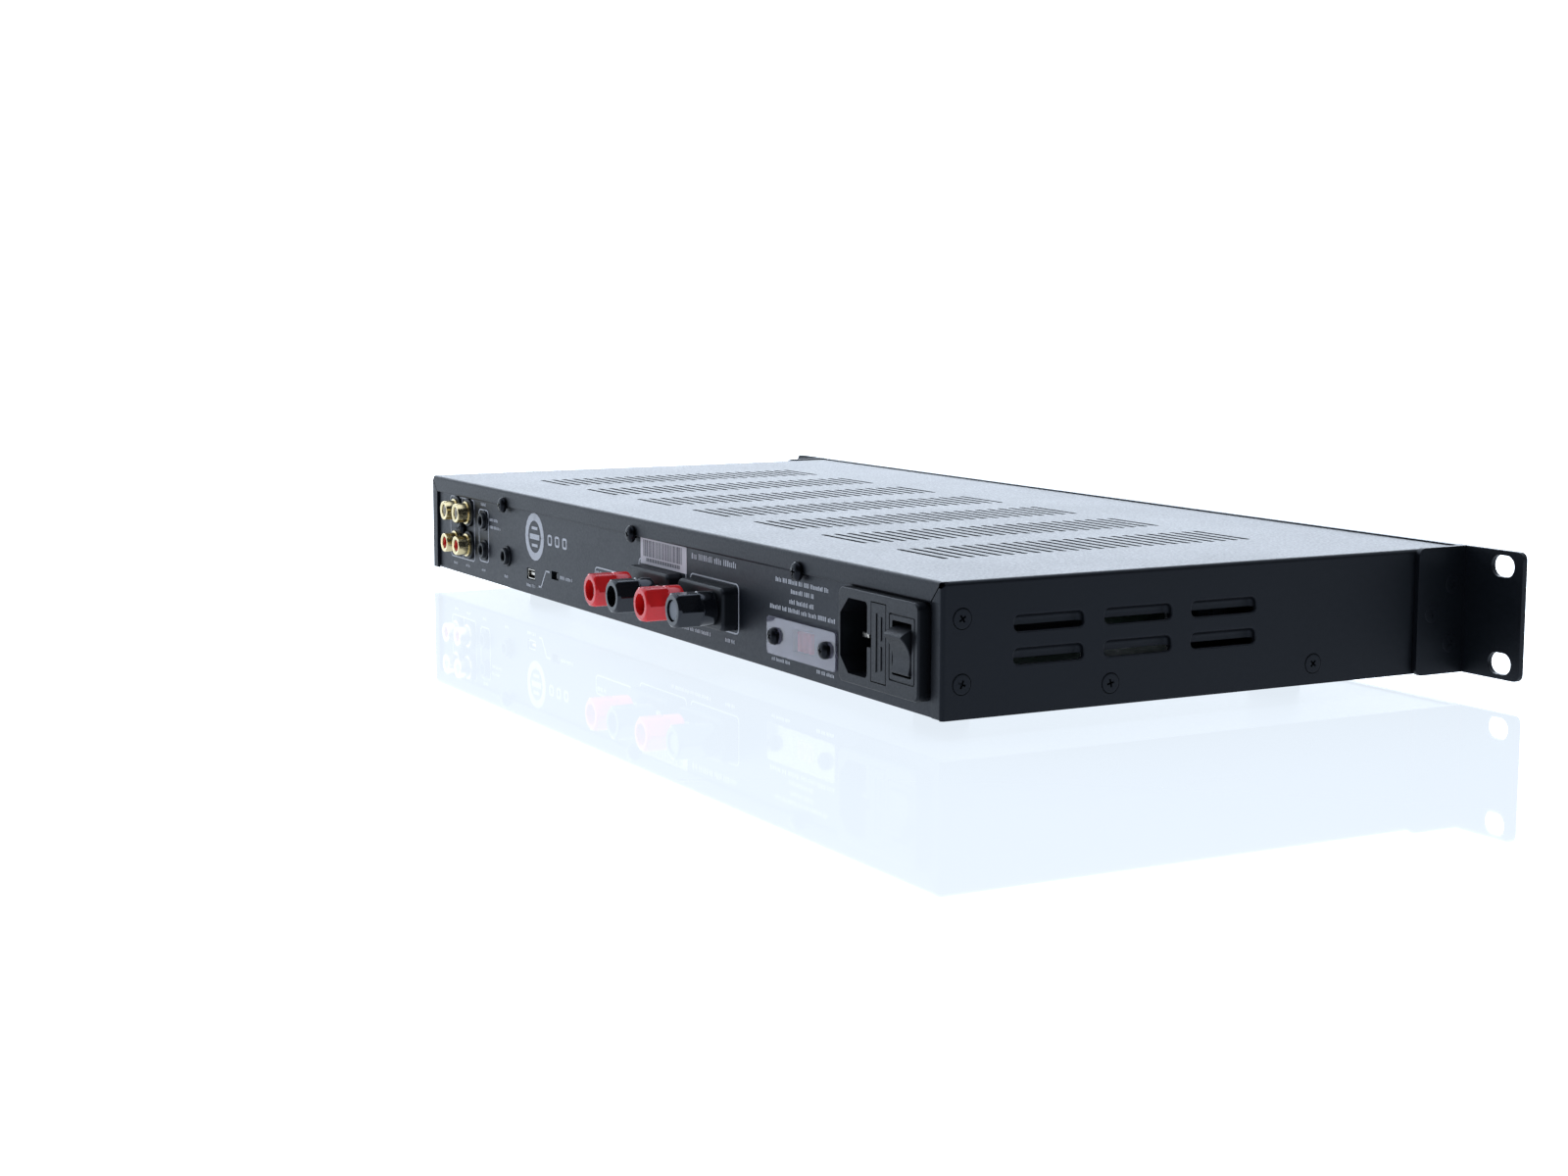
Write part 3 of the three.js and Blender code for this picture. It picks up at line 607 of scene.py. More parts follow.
class AmplifierColours(bpy.types.PropertyGroup):
    """Colours of the finishes."""

    coat: colour("Case coat", "0e1116", "Powder coat on the cover and the rack ears")
    # painted light: the case coat again, drawn lighter and bluer for the rear panel and the base, which take more
    # light
    rear_coat: colour("Rear coat", "13161d", "Powder coat on the rear panel and the base")
    fascia: colour("Front plate", "17191d", "Anodised front plate and knob")
    screw: colour("Screws", "23252a", "Blackened screws")
    moulding: colour("Mouldings", "0f1115", "Black plastic mouldings")
    gloss_black: colour("Black caps", "121418", "Black binding post caps")
    gloss_red: colour("Red caps", "f0282a", "Red binding post caps")
    plug: colour("Plug", "7f848c", "Grey plug in the end of one post")
    selector: colour("Selector", "f5303e", "Slider of the mains voltage selector")
    plate: colour("Selector plate", "dcdaec", "Clear locking plate over the selector")
    gold: colour("Phono shells", "e3d3a6", "Gold plate on the phono shells")
    ink: colour("Ink", "c9cbd4", "Printing on the rear panel")
    paper: colour("Label", "d9d5dd", "Paper label")


# ---- Cover, tray, front and ears ---------------------------------------------------


def louvre_tool(name, low_depth, high_depth, spread, bottom, top, radius, corners):
    """The pocket shape of one louvre, with its ceiling, its inner ends and, where asked,
    its outline corners rounded, repeated over both sides of the case."""
    half = (LOUVRES["length"] / 2 + spread) * MM
    y = COVER_HIGH.y - LOUVRE_BACKS[0] * MM
    z = BASE + LOUVRE_UPS[0] * MM
    tool = block(
        name,
        (-SIDE + low_depth * MM, y - half, z + bottom * MM),
        (-SIDE + high_depth * MM, y + half, z + top * MM),
    )
    inner = -SIDE + high_depth * MM
    middle_z = z + (bottom + top) / 2 * MM

    def rounded(at, along):
        outline = abs(along.x) > 0.9 and (corners or at.z > middle_z)
        deep = abs(at.x - inner) < 1e-5 and at.z > middle_z - 1e-5
        return outline or deep

    round_edges(tool, rounded, radius, 5)
    step_y = (LOUVRE_BACKS[0] - LOUVRE_BACKS[1]) * MM
    step_z = (LOUVRE_UPS[1] - LOUVRE_UPS[0]) * MM
    for count, step in ((3, (0, step_y, 0)), (2, (0, 0, step_z))):
        modify(tool, "ARRAY", count=count, use_relative_offset=False,
               use_constant_offset=True, constant_offset_displace=step)
    centre = bpy.data.objects.new("centre", None)
    bpy.context.scene.collection.objects.link(centre)
    modify(tool, "MIRROR", use_axis=(True, False, False), mirror_object=centre, use_mirror_merge=False)
    bpy.data.objects.remove(centre)
    return tool


def slot_tool(width):
    """One round-ended slot, repeated over the top in seven groups."""
    span = (SLOTS["count"] - 1) / 2 * SLOTS["pitch"] * MM
    x = -(SLOTS["groups"] - 1) / 2 * SLOTS["group_pitch"] * MM
    y = COVER_HIGH.y - SLOTS_MID_BACK * MM - span
    half = SLOTS["length"] / 2 * MM
    tool = rounded_block(
        "slots",
        (x - half, y - width / 2, COVER_HIGH.z - 2 * SHEET),
        (x + half, y + width / 2, COVER_HIGH.z + SHEET),
        width / 2 / MM * 0.96, "z", 4)
    steps = ((SLOTS["count"], (0, SLOTS["pitch"] * MM, 0)),
             (SLOTS["groups"], (SLOTS["group_pitch"] * MM, 0, 0)))
    for count, step in steps:
        modify(tool, "ARRAY", count=count, use_relative_offset=False,
               use_constant_offset=True, constant_offset_displace=step)
    return tool


def folded_cover(sizes):
    """The cover folded from one sheet: top, sides, rear flange and rear lips."""
    bend = sizes.bend / MM
    piece = block("cover_sheet", COVER_LOW, COVER_HIGH)
    back, top = COVER_HIGH.y, COVER_HIGH.z
    with editing(piece):
        select(piece, "FACE", lambda _, n: n.z < -0.9 or n.y < -0.9)
        bpy.ops.mesh.delete(type="FACE")
    round_edges(piece, lambda m, d: abs(m.z - top) < 1e-6 and abs(m.y - back / 2 - COVER_LOW.y / 2) < 1e-4
                or abs(m.y - back) < 1e-6 and m.z > BASE + MM, bend, 5)
    inner = SIDE - LIP_W * MM
    flange = top - FLANGE_H * MM
    with editing(piece):
        for place, normal in (((inner, 0, 0), (1, 0, 0)), ((-inner, 0, 0), (1, 0, 0)),
                              ((0, 0, flange), (0, 0, 1))):
            select(piece, "FACE", lambda m, n: n.y > 0.99)
            bpy.ops.mesh.bisect(plane_co=place, plane_no=normal)
        select(piece, "FACE",
               lambda m, n: n.y > 0.99 and abs(m.x) < inner and m.z < flange)
        bpy.ops.mesh.delete(type="FACE")
    modify(piece, "SOLIDIFY", thickness=SHEET, offset=-1, use_even_offset=True)
    low = COVER_LOW.z
    round_edges(piece, lambda m, d: abs(m.z - low) < 1e-6 and abs(m.y - back) < 1e-3
                and abs(d.x) > 0.99, 1.0, 4)
    round_edges(piece, lambda m, d: abs(m.z - flange) < 1e-5 and abs(m.y - back) < 1e-5
                and abs(d.x) > 0.99, 0.4, 3)
    round_edges(piece, lambda m, d: abs(abs(m.x) - inner) < 1e-5 and abs(m.y - back) < 1e-5
                and abs(d.z) > 0.99, 0.3, 3)
    return piece


def round_louvres(piece, radius_mm):
    """Takes the sharpness off the rim of every louvre in both sides."""
    half, high = LOUVRES["length"] / 2 * MM, LOUVRES["height"] * MM
    centres = [(COVER_HIGH.y - back * MM, BASE + up * MM)
               for back in LOUVRE_BACKS for up in LOUVRE_UPS]

    def near(m, reach, top):
        return any(abs(m.y - y) < half + reach and z - reach < m.z < z + top
                   for y, z in centres)

    round_edges(piece, lambda m, d: abs(abs(m.x) - SIDE) < 1e-5
                and near(m, 0.05 * MM, high + 0.05 * MM), radius_mm, 3)


def mitre_tools():
    """Thin cuts between the rear flange and each rear lip, and the relief at each corner."""
    tools = []
    for side in (-1, 1):
        only()
        mid = (side * (SIDE - LIP_W * MM / 2 - 0.2 * MM), COVER_HIGH.y,
               COVER_HIGH.z - FLANGE_H * MM / 2 + 0.2 * MM)
        bpy.ops.mesh.primitive_cube_add(
            size=1, location=mid, rotation=(0, -side * math.radians(48), 0))
        tools.append(settled("mitre", size=(9.4 * MM, 5 * MM, 0.42 * MM)))
        corner = Vector((side * (SIDE - 0.7 * MM), COVER_HIGH.y, COVER_HIGH.z - 0.7 * MM))
        along = Vector((side, 1.2, 1)).normalized() * 3 * MM
        tools.append(rod("relief", 1.0 * MM, corner - along, corner + along, 20))
    return tools


def dimple_tools():
    """Countersinks for the screws in both sides of the cover."""
    tools = []
    for side in (-1, 1):
        for back, up in SIDE_SCREWS:
            place = Vector((side * SIDE, COVER_HIGH.y - back * MM, BASE + up * MM))
            only()
            bpy.ops.mesh.primitive_cone_add(
                vertices=32, radius1=2.6 * MM, radius2=4.0 * MM, depth=2.4 * MM,
                location=place, rotation=(0, side * math.pi / 2, 0))
            tools.append(settled("countersink"))
    return tools


class MakeCover(bpy.types.Operator):
    """The ventilated cover with its slots, louvres, mitred rear corners and countersinks"""

    bl_idname = "amplifier.cover"
    bl_label = "Cover"

    def execute(self, context):
        sizes = context.scene.amplifier_sizes
        flare = sizes.flare / MM
        piece = folded_cover(sizes)
        depth = LOUVRES["depth"]
        height = LOUVRES["height"]
        pressing = louvre_tool("pressing", 0.3, depth + 1.1, 1, LOUVRES["gap"], height + 1,
                               flare + 0.9, False)
        hollow = louvre_tool("hollow", -1, depth, 0, 0, height, flare, True)
        carve(piece, pressing, operation="UNION")
        carve(piece, hollow)
        round_louvres(piece, 0.8)
        carve(piece, slot_tool(sizes.slot), *mitre_tools(), *dimple_tools())
        smooth(piece, 28)
        fit(piece, "coat", "top_cover", "black_coat")
        return {"FINISHED"}


class MakeTray(bpy.types.Operator):
    """The folded tray: base, rear panel and inner flanges, its rear bend rounded"""

    bl_idname = "amplifier.tray"
    bl_label = "Tray"

    def execute(self, context):
        piece = copy_of("chassis_tray", "tray_sheet")
        low, high = TRAY_LOW, TRAY_HIGH
        round_edges(
            piece,
            lambda m, d: abs(d.x) > 0.99 and abs(m.z - low.z) < 1e-5 and m.y > high.y - 1e-5,
            context.scene.amplifier_sizes.bend / MM, 4)
        smooth(piece, 30)
        # painted light: the tray takes the lighter, bluer copy of the case coat
        fit(piece, "rear", "chassis_tray", "rear_coat")
        return {"FINISHED"}


class MakeFrontPlate(bpy.types.Operator):
    """The thick front plate with its window, knob hole and button hole"""

    bl_idname = "amplifier.front_plate"
    bl_label = "Front plate"

    def execute(self, context):
        low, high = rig.box("front_panel")
        piece = rounded_block("front_plate", low, high, 1.2, "y", 4)
        glass_low, glass_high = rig.box("display_window")
        edge = 0.1 * MM
        opening = rounded_block(
            "opening",
            (glass_low.x - edge, low.y - MM, glass_low.z - edge),
            (glass_high.x + edge, high.y + MM, glass_high.z + edge), 0.4, "y", 3)
        knob, button = middle("menu_knob"), middle("power_button")
        button_r = (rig.box("power_button")[1].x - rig.box("power_button")[0].x) / 2 + 0.3 * MM
        holes = [
            rod("hole", radius, (at.x, low.y - MM, at.z), (at.x, high.y + MM, at.z), 56)
            for at, radius in ((knob, 4 * MM), (button, button_r))
        ]
        carve(piece, opening, *holes)
        smooth(soften(piece, 0.5, 3), 30)
        fit(piece, "anodised", "front_panel", "panel_anodised")
        return {"FINISHED"}


class MakeEars(bpy.types.Operator):
    """The two folded rack ears with their obround slots"""

    bl_idname = "amplifier.ears"
    bl_label = "Rack ears"

    def ear(self, node, name):
        low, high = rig.box(node)
        side = 1 if low.x > 0 else -1
        inner, outer = (low.x, high.x) if side > 0 else (high.x, low.x)
        thick = 2 * MM
        only()
        bpy.ops.mesh.primitive_plane_add(
            size=1, location=((inner + outer) / 2, low.y, (low.z + high.z) / 2),
            rotation=(math.pi / 2, 0, 0))
        piece = settled(name, size=(abs(outer - inner), high.z - low.z, 1))
        with editing(piece, "EDGE"):
            select(piece, "EDGE", lambda m, d: abs(m.x - inner) < 1e-6 and abs(d.z) > 0.9)
            step = (0, high.y - low.y, 0)
            bpy.ops.mesh.extrude_region_move(TRANSFORM_OT_translate={"value": step})
            bpy.ops.mesh.select_all(action="SELECT")
            bpy.ops.mesh.normals_make_consistent(inside=False)
        round_edges(piece, lambda m, d: abs(m.x - inner) < 1e-6 and abs(m.y - low.y) < 1e-6,
                    0.9, 3)
        with editing(piece, "VERT"):
            select(piece, "VERT", lambda p, n: abs(p.x - outer) < 1e-6 or abs(p.y - high.y) < 1e-6)
            bpy.ops.mesh.bevel(offset=2.5 * MM, segments=6, affect="VERTICES")
        # the sheet grows from the outside of the bend towards the rail and away from the case
        with editing(piece):
            bpy.ops.mesh.select_all(action="SELECT")
            bpy.ops.mesh.normals_make_consistent(inside=False)
            face = select(piece, "FACE", lambda m, n: n.y > 0.9)
        grows = 1 if face else -1
        modify(piece, "SOLIDIFY", thickness=thick, offset=grows, use_even_offset=True)
        for end in (-1, 1):
            z = (low.z + high.z) / 2 + end * 31.75 / 2 * MM
            x = side * 465.1 / 2 * MM
            slot = rounded_block(
                "slot", (x - 5 * MM, low.y - MM, z - 3.5 * MM),
                (x + 5 * MM, low.y + 3 * MM, z + 3.5 * MM), 3.45, "y", 9)
            carve(piece, slot)
        smooth(soften(piece, 0.25, 2), 30)
        fit(piece, "coat", node, "black_coat")

    def execute(self, context):
        self.ear("rack_ear_left", "ear_bracket_left")
        self.ear("rack_ear_right", "ear_bracket_right")
        return {"FINISHED"}


class MakeFeet(bpy.types.Operator):
    """Four turned rubber feet, each with a recess for its fixing"""

    bl_idname = "amplifier.feet"
    bl_label = "Feet"

    def execute(self, context):
        foot = turned("foot", [(8.9, -0.05), (9, -0.3), (8.3, -5.2), (7.8, -5.8), (7.2, -6),
                               (3.6, -6), (3.2, -5.7), (3, -1.5)])
        for end in ("front", "rear"):
            for hand in ("left", "right"):
                node = f"foot_{end}_{hand}"
                at = middle(node)
                piece = place_copy(foot, f"rubber_foot_{end}_{hand}",
                                   (at.x, at.y, BASE), (math.pi / 2, 0, 0))
                smooth(piece, 30)
                fit(piece, "rubber", node, "rubber")
        bpy.data.objects.remove(foot)
        return {"FINISHED"}


# ---- Screws ------------------------------------------------------------------------


def cross_recess(depth_mm, width_mm):
    """The cross that a driver fits, narrowing as it goes in, sunk from y = 0 backwards."""
    blades = []
    for turn in (0, math.pi / 2):
        only()
        bpy.ops.mesh.primitive_cube_add(size=1)
        blade = settled("blade", size=(width_mm * MM, depth_mm * 2 * MM, width_mm * 0.24 * MM))
        with editing(blade):
            select(blade, "FACE", lambda _, n: n.y < -0.9)
            bpy.ops.transform.resize(value=(0.45, 1, 0.45),
                                     center_override=(0, -depth_mm * MM, 0))
        blades.append(place_copy(blade, "cross", (0, 0, 0), (0, turn, 0)))
        bpy.data.objects.remove(blade)
    return carve(blades[0], blades[1], operation="UNION")


def pan_head(radius_mm, shank_mm=7):
    """A pan-head screw along y, its seat at y = 0."""
    r = radius_mm
    piece = turned("pan_head", [(1.35, -shank_mm), (1.4, 0.05), (r - 0.1, 0.06), (r, 0.35),
                                (r - 0.1, 1.15), (r - 0.55, 1.75), (r - 1.4, 2.15), (r - 2.4, 2.28)], sides=36)
    recess = cross_recess(1.3, r * 1.15)
    only(recess)
    recess.location = (0, 2.3 * MM, 0)
    bpy.ops.object.transform_apply()
    return smooth(carve(piece, recess), 28)


def flush_head(radius_mm):
    """A countersunk screw along y, its face just above y = 0."""
    r = radius_mm
    piece = turned("flush_head", [(1.3, -5), (1.35, -1.6), (r - 0.2, -0.35), (r, -0.15),
                                  (r - 0.1, 0.1), (r - 0.4, 0.2)], sides=36)
    recess = cross_recess(1.2, r * 1.2)
    only(recess)
    recess.location = (0, 0.25 * MM, 0)
    bpy.ops.object.transform_apply()
    return smooth(carve(piece, recess), 28)


class MakeScrews(bpy.types.Operator):
    """Pan-head screws in the rear and countersunk screws in the sides and the ears"""

    bl_idname = "amplifier.screws"
    bl_label = "Screws"

    def execute(self, context):
        pan = pan_head(context.scene.amplifier_sizes.screw / 2 / MM)
        for i in (1, 2, 3):
            node = f"cover_screw_{i}"
            at = middle(node)
            piece = place_copy(pan, f"cover_pan_screw_{i}", (at.x, COVER_HIGH.y, at.z),
                               (0, 0.5 * i, 0))
            fit(piece, "oxide", node, "black_steel")
        small = pan_head(2.9, 9)
        spots = [(middle("rca_housing").x, REAR + 0.05 * MM, middle("rca_shell_1").z - 7 * MM)]
        plate_low, plate_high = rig.box("selector_cover")
        for side in (-1, 1):
            at = middle("selector_cover")
            spots.append((at.x + side * 17 * MM, plate_high.y, at.z))
        names = ("phono_screw", "plate_screw_1", "plate_screw_2")
        for turn, (name, spot) in enumerate(zip(names, spots)):
            fit(place_copy(small, name, spot, (0, 0.4 + turn, 0)), "oxide", slot="black_steel")
        flush = flush_head(3.1)
        ear_low, ear_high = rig.box("rack_ear_left")
        for side, hand in ((-1, "left"), (1, "right")):
            turn = -side * math.pi / 2
            for i, (back, up) in enumerate(SIDE_SCREWS, 1):
                spot = (side * SIDE, COVER_HIGH.y - back * MM, BASE + up * MM)
                piece = place_copy(flush, f"side_screw_{hand}_{i}", spot, (0, 0.6 * i, turn))
                fit(piece, "coat", slot="black_coat")
            for i, (back, up) in enumerate(EAR_SCREWS, 1):
                spot = (side * (SIDE + 2.1 * MM), ear_low.y + back * MM, BASE + up * MM)
                piece = place_copy(flush, f"ear_screw_{hand}_{i}", spot, (0, 0.8 * i, turn))
                fit(piece, "coat", slot="black_coat")
        for spare in (pan, small, flush):
            bpy.data.objects.remove(spare)
        return {"FINISHED"}


# ---- Sockets -----------------------------------------------------------------------


class MakePhonoSockets(bpy.types.Operator):
    """Four gold phono shells with white and red insulators in one moulded block"""

    bl_idname = "amplifier.phono"
    bl_label = "Phono sockets"

    def execute(self, context):
        low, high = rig.box("rca_housing")
        inner = REAR - SHEET - 0.1 * MM
        body = rounded_block("phono_block", low, (high.x, inner, high.z), 1, "z", 3)
        shell = turned("shell", [(4.15, -10), (4.15, 1.25), (4.9, 1.3), (4.95, 1.5), (4.9, 2.0),
                                 (4.2, 2.1), (4.15, 6.3), (3.95, 6.7), (3.5, 6.8), (2.6, 6.5),
                                 (2.45, 6.2), (2.45, -9.9)], sides=40)
        boss = turned("boss", [(4.6, -1.6), (5.5, -1.5), (5.6, 0.02), (6.1, 0.05), (6.1, 0.9),
                               (5.8, 1.2), (4.9, 1.25)], sides=40)
        core = turned("core", [(2.4, -9), (2.4, 5.7), (2.3, 5.9), (1.8, 5.9), (1.65, 5.6),
                               (1.6, -8)], sides=32)
        for i in range(1, 5):
            node = f"rca_shell_{i}"
            at = middle(node)
            spot = (at.x, REAR, at.z)
            body = carve(body, place_copy(boss, "ring", spot), operation="UNION")
            fit(smooth(place_copy(shell, f"phono_shell_{i}", spot)), "gold", node, "gold_plate")
            insulator = smooth(place_copy(core, f"phono_insulator_{i}", spot))
            if at.z > (low.z + high.z) / 2 - 3 * MM:
                fit(insulator, "white_pvc")
            else:
                fit(insulator, "red_pvc", slot="red_plastic")
        for spare in (shell, boss, core):
            bpy.data.objects.remove(spare)
        fit(smooth(soften(body, 0.15, 2)), "abs", "rca_housing", "black_plastic")
        return {"FINISHED"}


class MakeJacks(bpy.types.Operator):
    """Three miniature jack sockets"""

    bl_idname = "amplifier.jacks"
    bl_label = "Jacks"

    def execute(self, context):
        bush = turned("bush", [(3.4, -1.6), (3.5, 0.04), (4.3, 0.06), (4.35, 0.5), (4.1, 0.75),
                               (3.5, 0.8), (3.45, 1.8), (3.2, 2.2), (2.3, 2.2), (1.95, 1.9),
                               (1.8, -1.5), (1.75, -9)], sides=36)
        for node in ("trigger_jack_upper", "trigger_jack_lower", "control_jack"):
            low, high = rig.box(node)
            at = middle(node)
            body = rounded_block("jack", low, (high.x, REAR - SHEET - 0.1 * MM, high.z), 0.8, "y", 3)
            bore = rod("bore", 1.75 * MM, (at.x, REAR - 9 * MM, at.z), (at.x, REAR + MM, at.z), 24)
            carve(body, bore)
            body = soften(body, 0.15, 2)
            tip = place_copy(bush, "bush_on", (at.x, REAR, at.z))
            piece = joined(f"{node}_socket", [body, tip])
            fit(smooth(piece), "abs", node, "black_plastic")
        bpy.data.objects.remove(bush)
        return {"FINISHED"}


class MakeDataSockets(bpy.types.Operator):
    """The small data socket and the update switch beside it"""

    bl_idname = "amplifier.data"
    bl_label = "Data socket and switch"

    def execute(self, context):
        low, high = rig.box("usb_socket")
        wall = 0.4 * MM
        shell = block("data_socket_shell", low, high)
        round_edges(shell, lambda m, d: abs(d.y) > 0.99 and m.z < (low.z + high.z) / 2, 1.1, 4)
        mouth = block("mouth", (low.x + wall, high.y - 5.7 * MM, low.z + wall),
                      (high.x - wall, high.y + MM, high.z - wall))
        round_edges(mouth, lambda m, d: abs(d.y) > 0.99 and m.z < (low.z + high.z) / 2, 0.9, 4)
        carve(shell, mouth)
        at = middle("usb_socket")
        tongue = block("tongue", (at.x - 2.4 * MM, high.y - 6 * MM, at.z - 0.5 * MM),
                       (at.x + 2.4 * MM, high.y - 0.8 * MM, at.z + 0.7 * MM))
        piece = joined("data_socket", [soften(shell, 0.1, 2), soften(tongue, 0.15, 2)])
        fit(smooth(piece), "nickel", "usb_socket", "nickel")
        body = soften(copy_of("update_switch_body", "update_switch_case"), 0.12, 2)
        fit(smooth(body), "abs", "update_switch_body", "black_plastic")
        slider = soften(copy_of("update_switch_slider", "update_switch_tab"), 0.2, 3)
        fit(smooth(slider), "abs", "update_switch_slider", "black_plastic")
        return {"FINISHED"}


# ---- Loudspeaker terminals ---------------------------------------------------------


class MakeTerminals(bpy.types.Operator):
    """Two moulded bases, four threaded posts and four hexagonal caps with brass inserts"""

    bl_idname = "amplifier.terminals"
    bl_label = "Loudspeaker terminals"

    def cap(self):
        """A cap along y, its back at y = 0: round skirt, groove, then a coned hexagon."""
        hexagon = turned("hexagon", [(6.58, 6.1), (6.58, 15)], sides=6,
                         start_angle=math.radians(30))
        round_edges(hexagon, lambda m, d: abs(d.y) > 0.99, 0.5, 3)
        nose = turned("nose", [(7.6, 5), (7.6, 6.1), (7.6, 12.7), (6.9, 13.6), (5.35, 14.9),
                               (5.1, 15), (3, 15)], sides=64)
        carve(hexagon, nose, operation="INTERSECT")
        skirt = turned("skirt", [(5.6, 0), (5.95, 0.3), (6, 0.6), (6, 5.5), (5.75, 5.8),
                                 (5.75, 6.3), (5.2, 6.4)], sides=64)
        cap = carve(skirt, hexagon, operation="UNION")
        bore = rod("bore", 3.8 * MM, (0, 8 * MM, 0), (0, 16 * MM, 0), 48)
        well = rod("well", 4.7 * MM, (0, -MM, 0), (0, 8.9 * MM, 0), 48)
        carve(cap, bore, well)
        return smooth(soften(cap, 0.28, 3, 28), 40)

    def execute(self, context):
        for i in (1, 2):
            node = f"terminal_base_{i}"
            low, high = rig.box(node)
            base = rounded_block(f"post_base_{i}", low, high, 2.5, "y", 6)
            front = high.y
            round_edges(base, lambda m, d: abs(m.y - front) < 1e-6, 1.1, 4)
            for post in (1, 2):
                at = middle(f"terminal_post_{2 * i - 2 + post}")
                carve(base, rod("bore", 3.2 * MM, (at.x, low.y - MM, at.z),
                                (at.x, high.y + MM, at.z), 32))
            fit(smooth(base, 40), "abs", node, "black_plastic")
        cap = self.cap()
        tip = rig.box("terminal_post_1")[1].y
        reach = (tip - REAR) / MM
        thread = [(1.2, -14), (1.2, -6.5), (5, -6.5), (5, -2.2), (2.9, -2.2), (2.9, 6)]
        for ridge in range(int(reach - 7.5)):
            thread += [(2.72, 6.3 + ridge), (2.9, 6.8 + ridge)]
        thread += [(2.9, reach - 0.5), (2.5, reach), (2.05, reach), (2.05, reach - 12)]
        post = smooth(turned("post", thread, sides=32), 25)
        insert = turned("insert", [(3.6, 0.6), (4.4, 0.6), (4.4, 8.6), (3.6, 8.6)], sides=36)
        carve(insert, rod("bore", 3.05 * MM, (0, 0, 0), (0, 9 * MM, 0), 36))
        smooth(soften(insert, 0.2, 2))
        for i in range(1, 5):
            at = middle(f"terminal_cap_{i}")
            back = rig.box(f"terminal_cap_{i}")[0].y
            spot = (at.x, back, at.z)
            shade = "red" if i % 2 else "black"
            fit(place_copy(cap, f"post_cap_{i}", spot), f"gloss_{shade}",
                f"terminal_cap_{i}", f"{shade}_gloss")
            fit(place_copy(insert, f"post_insert_{i}", spot), "brass",
                f"terminal_insert_{i}", "brass")
            fit(place_copy(post, f"post_stud_{i}", (at.x, REAR, at.z)), "nickel",
                f"terminal_post_{i}", "nickel")
        at = middle("terminal_plug")
        low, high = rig.box("terminal_plug")
        front = (high.y - REAR) / MM
        plug = turned("post_plug", [(1.8, front - 11), (1.8, front - 2.7), (3.5, front - 2.7),
                                    (3.55, front - 0.5), (3.3, front - 0.05), (1.6, front)],
                      (at.x, REAR, at.z), 40)
        fit(smooth(plug), "grey", "terminal_plug", "grey_plastic")
        for spare in (cap, post, insert):
            bpy.data.objects.remove(spare)
        return {"FINISHED"}


# ---- Mains side --------------------------------------------------------------------


